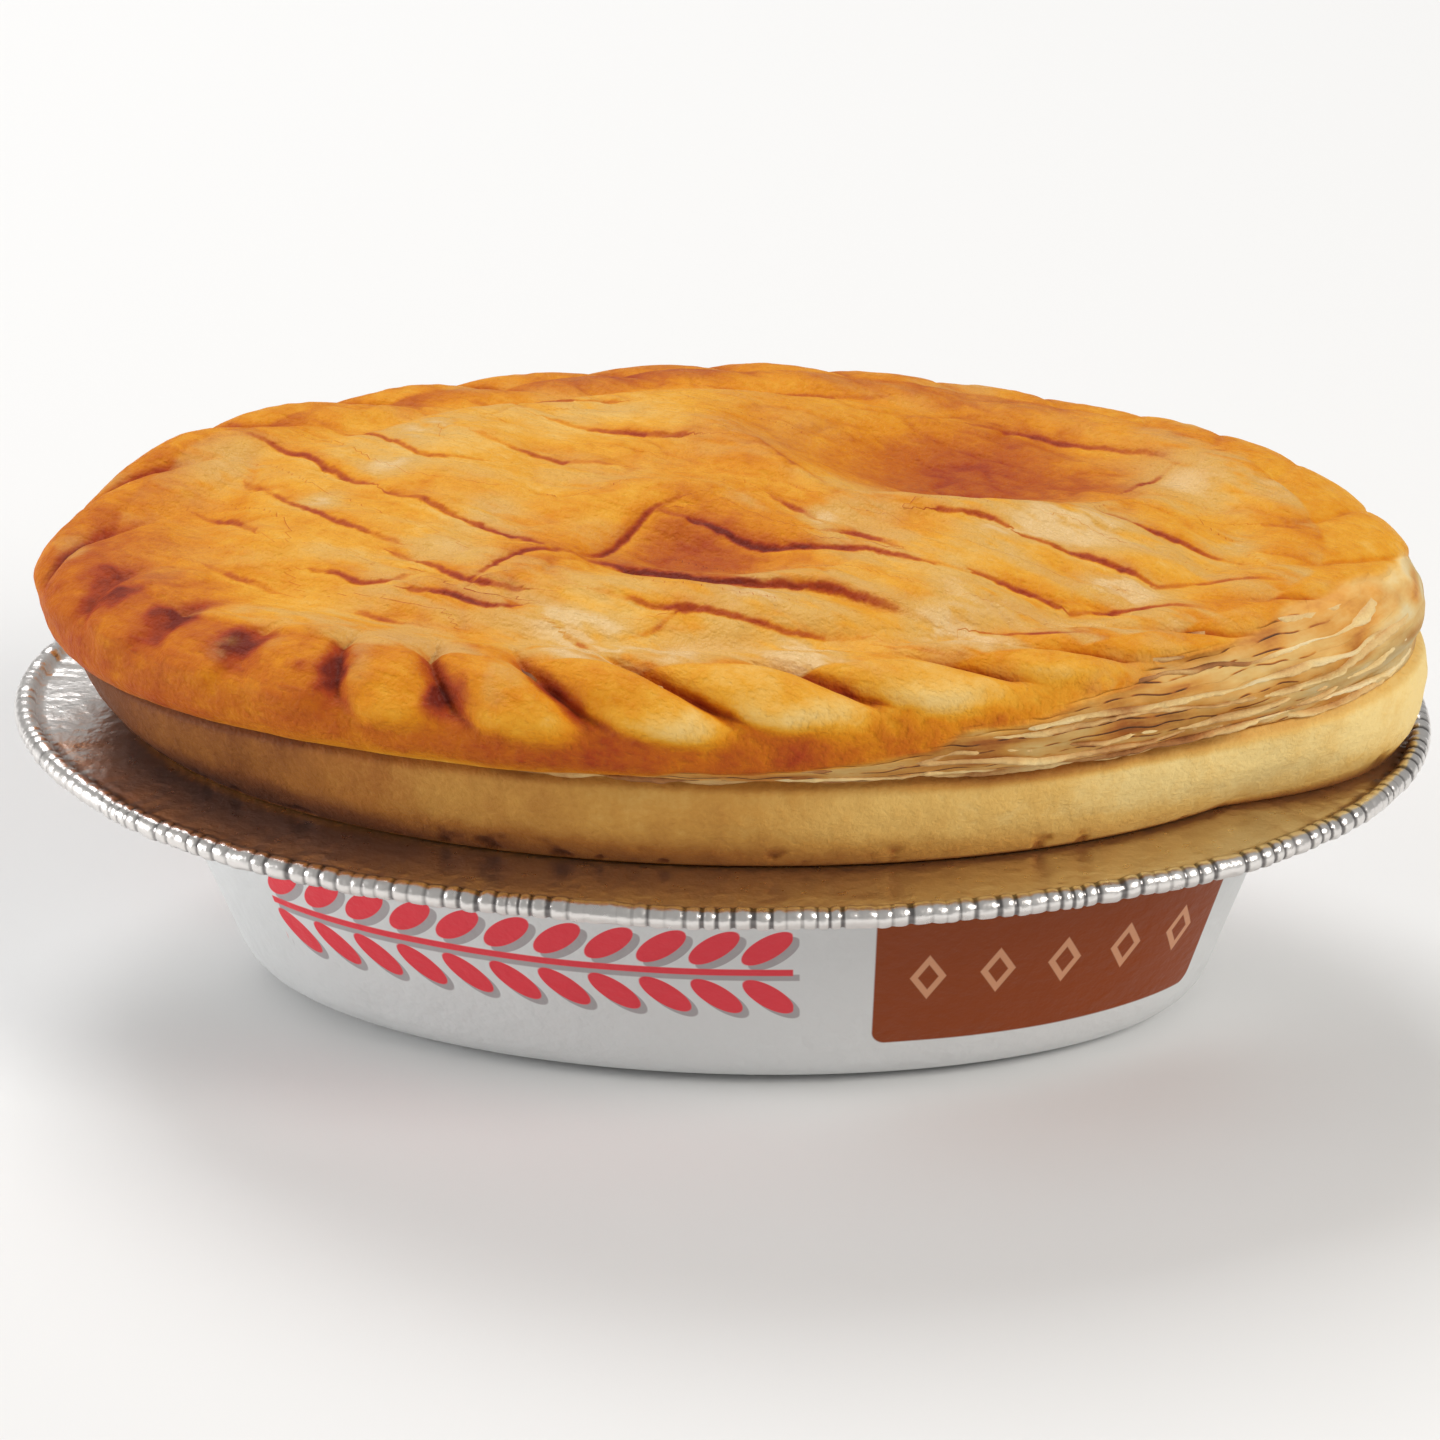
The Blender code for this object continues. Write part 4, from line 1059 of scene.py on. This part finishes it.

# The lines are thin and brown: the stored distance changes its sign on each of them. Behind each
# line is painted shade, and on its lip in front a painted highlight.
line_away = lid_finish.stored("line") + 0.9 * (lid_broad - 0.5)
line_depth = lid_finish.stored("depth")
line_dark = line_away.math("ABSOLUTE").ease(0.62, 0.05) * line_depth.ease(0.0, 0.50)
line_painted_shade = line_away.ease(-2.4, 0.0) * line_away.ease(0.5, 0.0) * line_depth
line_painted_highlight = line_away.ease(0.1, 0.5) * line_away.ease(2.2, 0.6) * line_depth
lid_tone = (lid_finish.stored("bake") + 0.18 * (lid_broad - 0.5) + 0.17 * (lid_streak - 0.5)
            + 0.13 * (lid_fine - 0.5) + 0.27 * line_dark + 0.18 * line_painted_shade - 0.13 * line_painted_highlight)
lid_colour = lid_finish.ramp(lid_tone, *LID_COLOURS)
pale_and_sheen_patch = lid_finish.stored("pale") * lid_finish.noise(lid_grain, 2.2, 2.0).ease(0.24, 0.58)
pale_and_sheen_patch = pale_and_sheen_patch * (1.0 - line_dark)
# The pale patches are tan; where strongest they take a painted greasy sheen.
lid_colour = lid_finish.blend(pale_and_sheen_patch.ease(0.0, 0.9) * 0.72, lid_colour, PATCH_TAN)
lid_colour = lid_finish.blend(pale_and_sheen_patch.ease(0.85, 1.50) * 0.42, lid_colour, PATCH_PAINTED_SHEEN)

# Where the layers have come apart, the body between the loose leaves shows their edges as steps,
# with painted shade in the gaps between them.
lid_x, lid_z = (lid_finish.node("ShaderNodeSeparateXYZ", {}, {0: lid_spot}, axis) for axis in "XZ")
strata_rise = lid_z + 3.0 * lid_finish.noise(lid_finish.place((0.5, 0.5, 0.6)), 5.0, 2.0)
strata_step = (strata_rise / LAYER_PITCH) % 1.0
strata_gap_shade = strata_step.ease(0.22, 0.06) * lid_finish.noise(lid_spot, 2.6, 1.0).ease(0.42, 0.58)
strata_gap_shade = strata_gap_shade * lid_x.ease(66.0, 60.0)
layer_tone = (lid_finish.stored("bake") + 0.30 * (lid_strata - 0.5) + 0.12 * (lid_fine - 0.5)
              + 0.50 * strata_gap_shade)
layer_colour = lid_finish.ramp(layer_tone, *LAYER_COLOURS)
open_leaf = lid_finish.stored("leaf")
lid_relief_value = (0.8 * lid_fine + 1.2 * lid_broad + 0.9 * lid_streak) * (1.0 - open_leaf)
lid_relief_value = lid_relief_value + 3.0 * strata_step * open_leaf
lid_finish.wear(lid_piece, Base_Color=lid_finish.blend(open_leaf, lid_colour, layer_colour),
                Roughness=0.60 - 0.22 * pale_and_sheen_patch + 0.16 * (lid_fine - 0.5),
                Specular_IOR_Level=0.14,
                Normal=lid_finish.relief(lid_relief_value, 0.34 * MM))

# Leaves of the lid: at the front right the puff pastry has come apart into thin sheets. Each one
# stands out of the lid's side by a ragged edge, pale where it is freshly torn and tan elsewhere.
LEAF_START, LEAF_END = 252.0, 384.0
LEAF_STEPS = 560
LEAF_LEVELS = (0.4, 1.2, 2.6, 3.5, 5.2, 6.1, 7.7, 8.8)
LEAF_ROOT = 2.4 * MM
LEAF_TAPER = 0.8 * MM
LEAF_EDGE = 0.15 * MM
LEAF_SUNK, LEAF_OPENING = 3.4 * MM, 3.1 * MM
LEAF_THICKNESS = 0.32 * MM
LEAF_DROOP = 0.45 * MM
LEAF_TONE = 0.48
LEAF_END_TONE = 0.4
LEAF_RIGHT_PALE = 0.22

# Tone across a leaf, from its root over its top, round its edge and back below: browning, with
# painted shade at the root and under side.
LEAF_TONE_AND_SHADE_ACROSS = (0.24, 0.10, -0.04, -0.08, 0.0, 0.18, 0.34)
LEAF_COLOURS = ((0.0, (0.88, 0.70, 0.39)), (0.22, (0.85, 0.61, 0.27)), (0.45, (0.72, 0.44, 0.17)),
                (0.65, (0.47, 0.20, 0.060)), (1.0, (0.16, 0.05, 0.02)))

leaf_degrees = np.linspace(LEAF_START, LEAF_END, LEAF_STEPS)
leaf_shells, leaf_bake = [], []
for number, level in enumerate(LEAF_LEVELS):
    foot = seam_height(leaf_degrees) + GAP / 2
    line = ring(leaf_degrees, LID_OVERHANG, foot)
    centre_z = foot + MM * (level + lumps(line, (0.75, 14.0, 50 + number), (0.30, 3.5, 60 + number)))
    lift = centre_z - (foot + LID_WIDEST)
    reach_up = periodic(EDGE_HEIGHTS, leaf_degrees, MM) - foot - LID_WIDEST
    sheet_turn = np.arcsin(np.clip(lift / np.where(lift > 0.0, reach_up, LID_UNDERCUT), -0.97, 0.97))
    side_offset = lid_side(leaf_degrees, sheet_turn)[0]
    opened = periodic(LEAF_TOP, leaf_degrees) + lumps(line, (9.0, 5.0, 70 + number))
    opened = smooth(opened - np.degrees(sheet_turn), -8.0, 8.0)
    opened = opened * (1.0 - 0.7 * bump(leaf_degrees, 376.0, 30.0))
    torn = lumps(line, (1.1, 8.0, 80 + number), (0.35, 1.7, 90 + number), (0.20, 0.6, 100 + number))
    torn = torn - 0.5 * bump(leaf_degrees, 368.0, 30.0)
    thick = np.clip(LEAF_THICKNESS + MM * lumps(line, (0.24, 5.0, 110 + number)), 0.10 * MM, 0.6 * MM)
    droop = centre_z + LEAF_DROOP * lumps(line, (1.0, 5.0, 120 + number))
    tip = side_offset - LEAF_SUNK + opened * (LEAF_OPENING + 0.8 * MM * torn)
    section = ((tip - LEAF_ROOT, centre_z + thick), (tip - LEAF_TAPER, centre_z + thick),
               (tip - LEAF_EDGE, droop + 0.75 * thick), (tip, droop), (tip - LEAF_EDGE, droop - 0.75 * thick),
               (tip - LEAF_TAPER, centre_z - thick), (tip - LEAF_ROOT, centre_z - thick))
    loops = np.stack([ring(leaf_degrees, offset, height) for offset, height in section], axis=1)
    rows = [loops[0].mean(axis=0, keepdims=True)] + list(loops) + [loops[-1].mean(axis=0, keepdims=True)]
    tone = LEAF_TONE + lumps(line, (0.40, 7.0, 130 + number), (0.16, 2.0, 140 + number))
    tone = tone - LEAF_RIGHT_PALE * bump(leaf_degrees, 354.0, 40.0)
    leaf_shells.append(rows)
    leaf_ends = [np.full(1, LEAF_END_TONE)]
    leaf_bake += leaf_ends + list(tone[:, None] + np.array(LEAF_TONE_AND_SHADE_ACROSS)) + leaf_ends
leaves_piece = skin("pastry_leaves", leaf_shells, "puff_pastry", bake=leaf_bake)

leaves_finish = Finish("torn_pastry")
leaves_spot = leaves_finish.place((1.0, 1.0, 2.0))
leaves_fine = leaves_finish.noise(leaves_spot, 0.5, 4.0, 0.65)
leaves_patch = leaves_finish.noise(leaves_spot, 2.6, 3.0)
leaves_tone = leaves_finish.stored("bake") + 0.34 * (leaves_patch - 0.5) + 0.16 * (leaves_fine - 0.5)
leaves_finish.wear(leaves_piece, Base_Color=leaves_finish.ramp(leaves_tone, *LEAF_COLOURS),
                   Roughness=0.62 + 0.2 * (leaves_fine - 0.5),
                   Specular_IOR_Level=0.22,
                   Normal=leaves_finish.relief(leaves_fine + leaves_patch, 0.25 * MM))

# Floor, studio lights and camera: not part of the pie.
FLOOR_SIZE = 6.0
FLOOR_GREY = (0.80, 0.80, 0.80, 1.0)
STUDIO_WHITE = (1.0, 0.99, 0.97, 1.0)
STUDIO_LIGHT = 0.38
KEY_WHITE = (1.0, 0.97, 0.92)
LIGHTS_AIM = Vector((0.0, 0.0, 0.03))

floor_mesh = bpy.data.meshes.new("floor")
half = FLOOR_SIZE / 2
floor_mesh.from_pydata([(-half, -half, 0.0), (half, -half, 0.0), (half, half, 0.0), (-half, half, 0.0)], [],
                       [(0, 1, 2, 3)])
floor = bpy.data.objects.new("floor", floor_mesh)
bpy.context.scene.collection.objects.link(floor)
floor_finish = Finish("floor")
floor_finish.wear(floor, Base_Color=FLOOR_GREY, Roughness=0.8)

world = bpy.data.worlds.new("studio")
bpy.context.scene.world = world
world.use_nodes = True
world.node_tree.nodes["Background"].inputs["Color"].default_value = STUDIO_WHITE
world.node_tree.nodes["Background"].inputs["Strength"].default_value = STUDIO_LIGHT


def softbox(name, place, width, watts, colour=(1.0, 1.0, 1.0)):
    """Square area light that faces the pie."""
    data = bpy.data.lights.new(name, "AREA")
    data.size = width
    data.energy = watts
    data.color = colour
    lamp = bpy.data.objects.new(name, data)
    lamp.location = place
    lamp.rotation_euler = (LIGHTS_AIM - Vector(place)).to_track_quat("-Z", "Y").to_euler()
    bpy.context.scene.collection.objects.link(lamp)


softbox("key", (0.85, -0.50, 0.70), 0.40, 7.6, KEY_WHITE)
softbox("top", (-0.30, 0.60, 0.95), 0.6, 7.0)
softbox("left", (-1.0, -0.15, 0.25), 0.35, 5.2)

# Camera: at the pie's front, a little to its right, looking down at it. The rim's centre is where
# it is in the photograph, counted in pixels from the top left.
FRAME_PIXELS = 1440
FOCAL_PIXELS = 7578.0
CAMERA_DISTANCE = 0.8
CAMERA_ELEVATION = math.radians(25.26)
CAMERA_TURN = math.radians(-6.9)
CAMERA_ROLL = math.radians(-0.77)
RIM_CENTRE_PIXEL = (718.8, 708.9)
RIM_CENTRE = Vector((0.0, 0.0, 0.032))
SENSOR = 36.0

sight = Vector((math.sin(CAMERA_TURN) * math.cos(CAMERA_ELEVATION),
                math.cos(CAMERA_TURN) * math.cos(CAMERA_ELEVATION), -math.sin(CAMERA_ELEVATION)))
level_right = Vector((math.cos(CAMERA_TURN), -math.sin(CAMERA_TURN), 0.0))
level_up = level_right.cross(sight)
right = level_right * math.cos(CAMERA_ROLL) + level_up * math.sin(CAMERA_ROLL)
up = level_up * math.cos(CAMERA_ROLL) - level_right * math.sin(CAMERA_ROLL)
metres_per_pixel = CAMERA_DISTANCE / FOCAL_PIXELS
eye = (RIM_CENTRE - sight * CAMERA_DISTANCE
       + right * (FRAME_PIXELS / 2 - RIM_CENTRE_PIXEL[0]) * metres_per_pixel
       + up * (RIM_CENTRE_PIXEL[1] - FRAME_PIXELS / 2) * metres_per_pixel)
camera_data = bpy.data.cameras.new("camera")
camera_data.sensor_width = SENSOR
camera_data.lens = FOCAL_PIXELS / FRAME_PIXELS * SENSOR
camera = bpy.data.objects.new("camera", camera_data)
camera.matrix_world = Matrix.Translation(eye) @ Matrix((right, up, -sight)).transposed().to_4x4()
bpy.context.scene.collection.objects.link(camera)
bpy.context.scene.camera = camera
bpy.context.scene.view_settings.view_transform = "Standard"
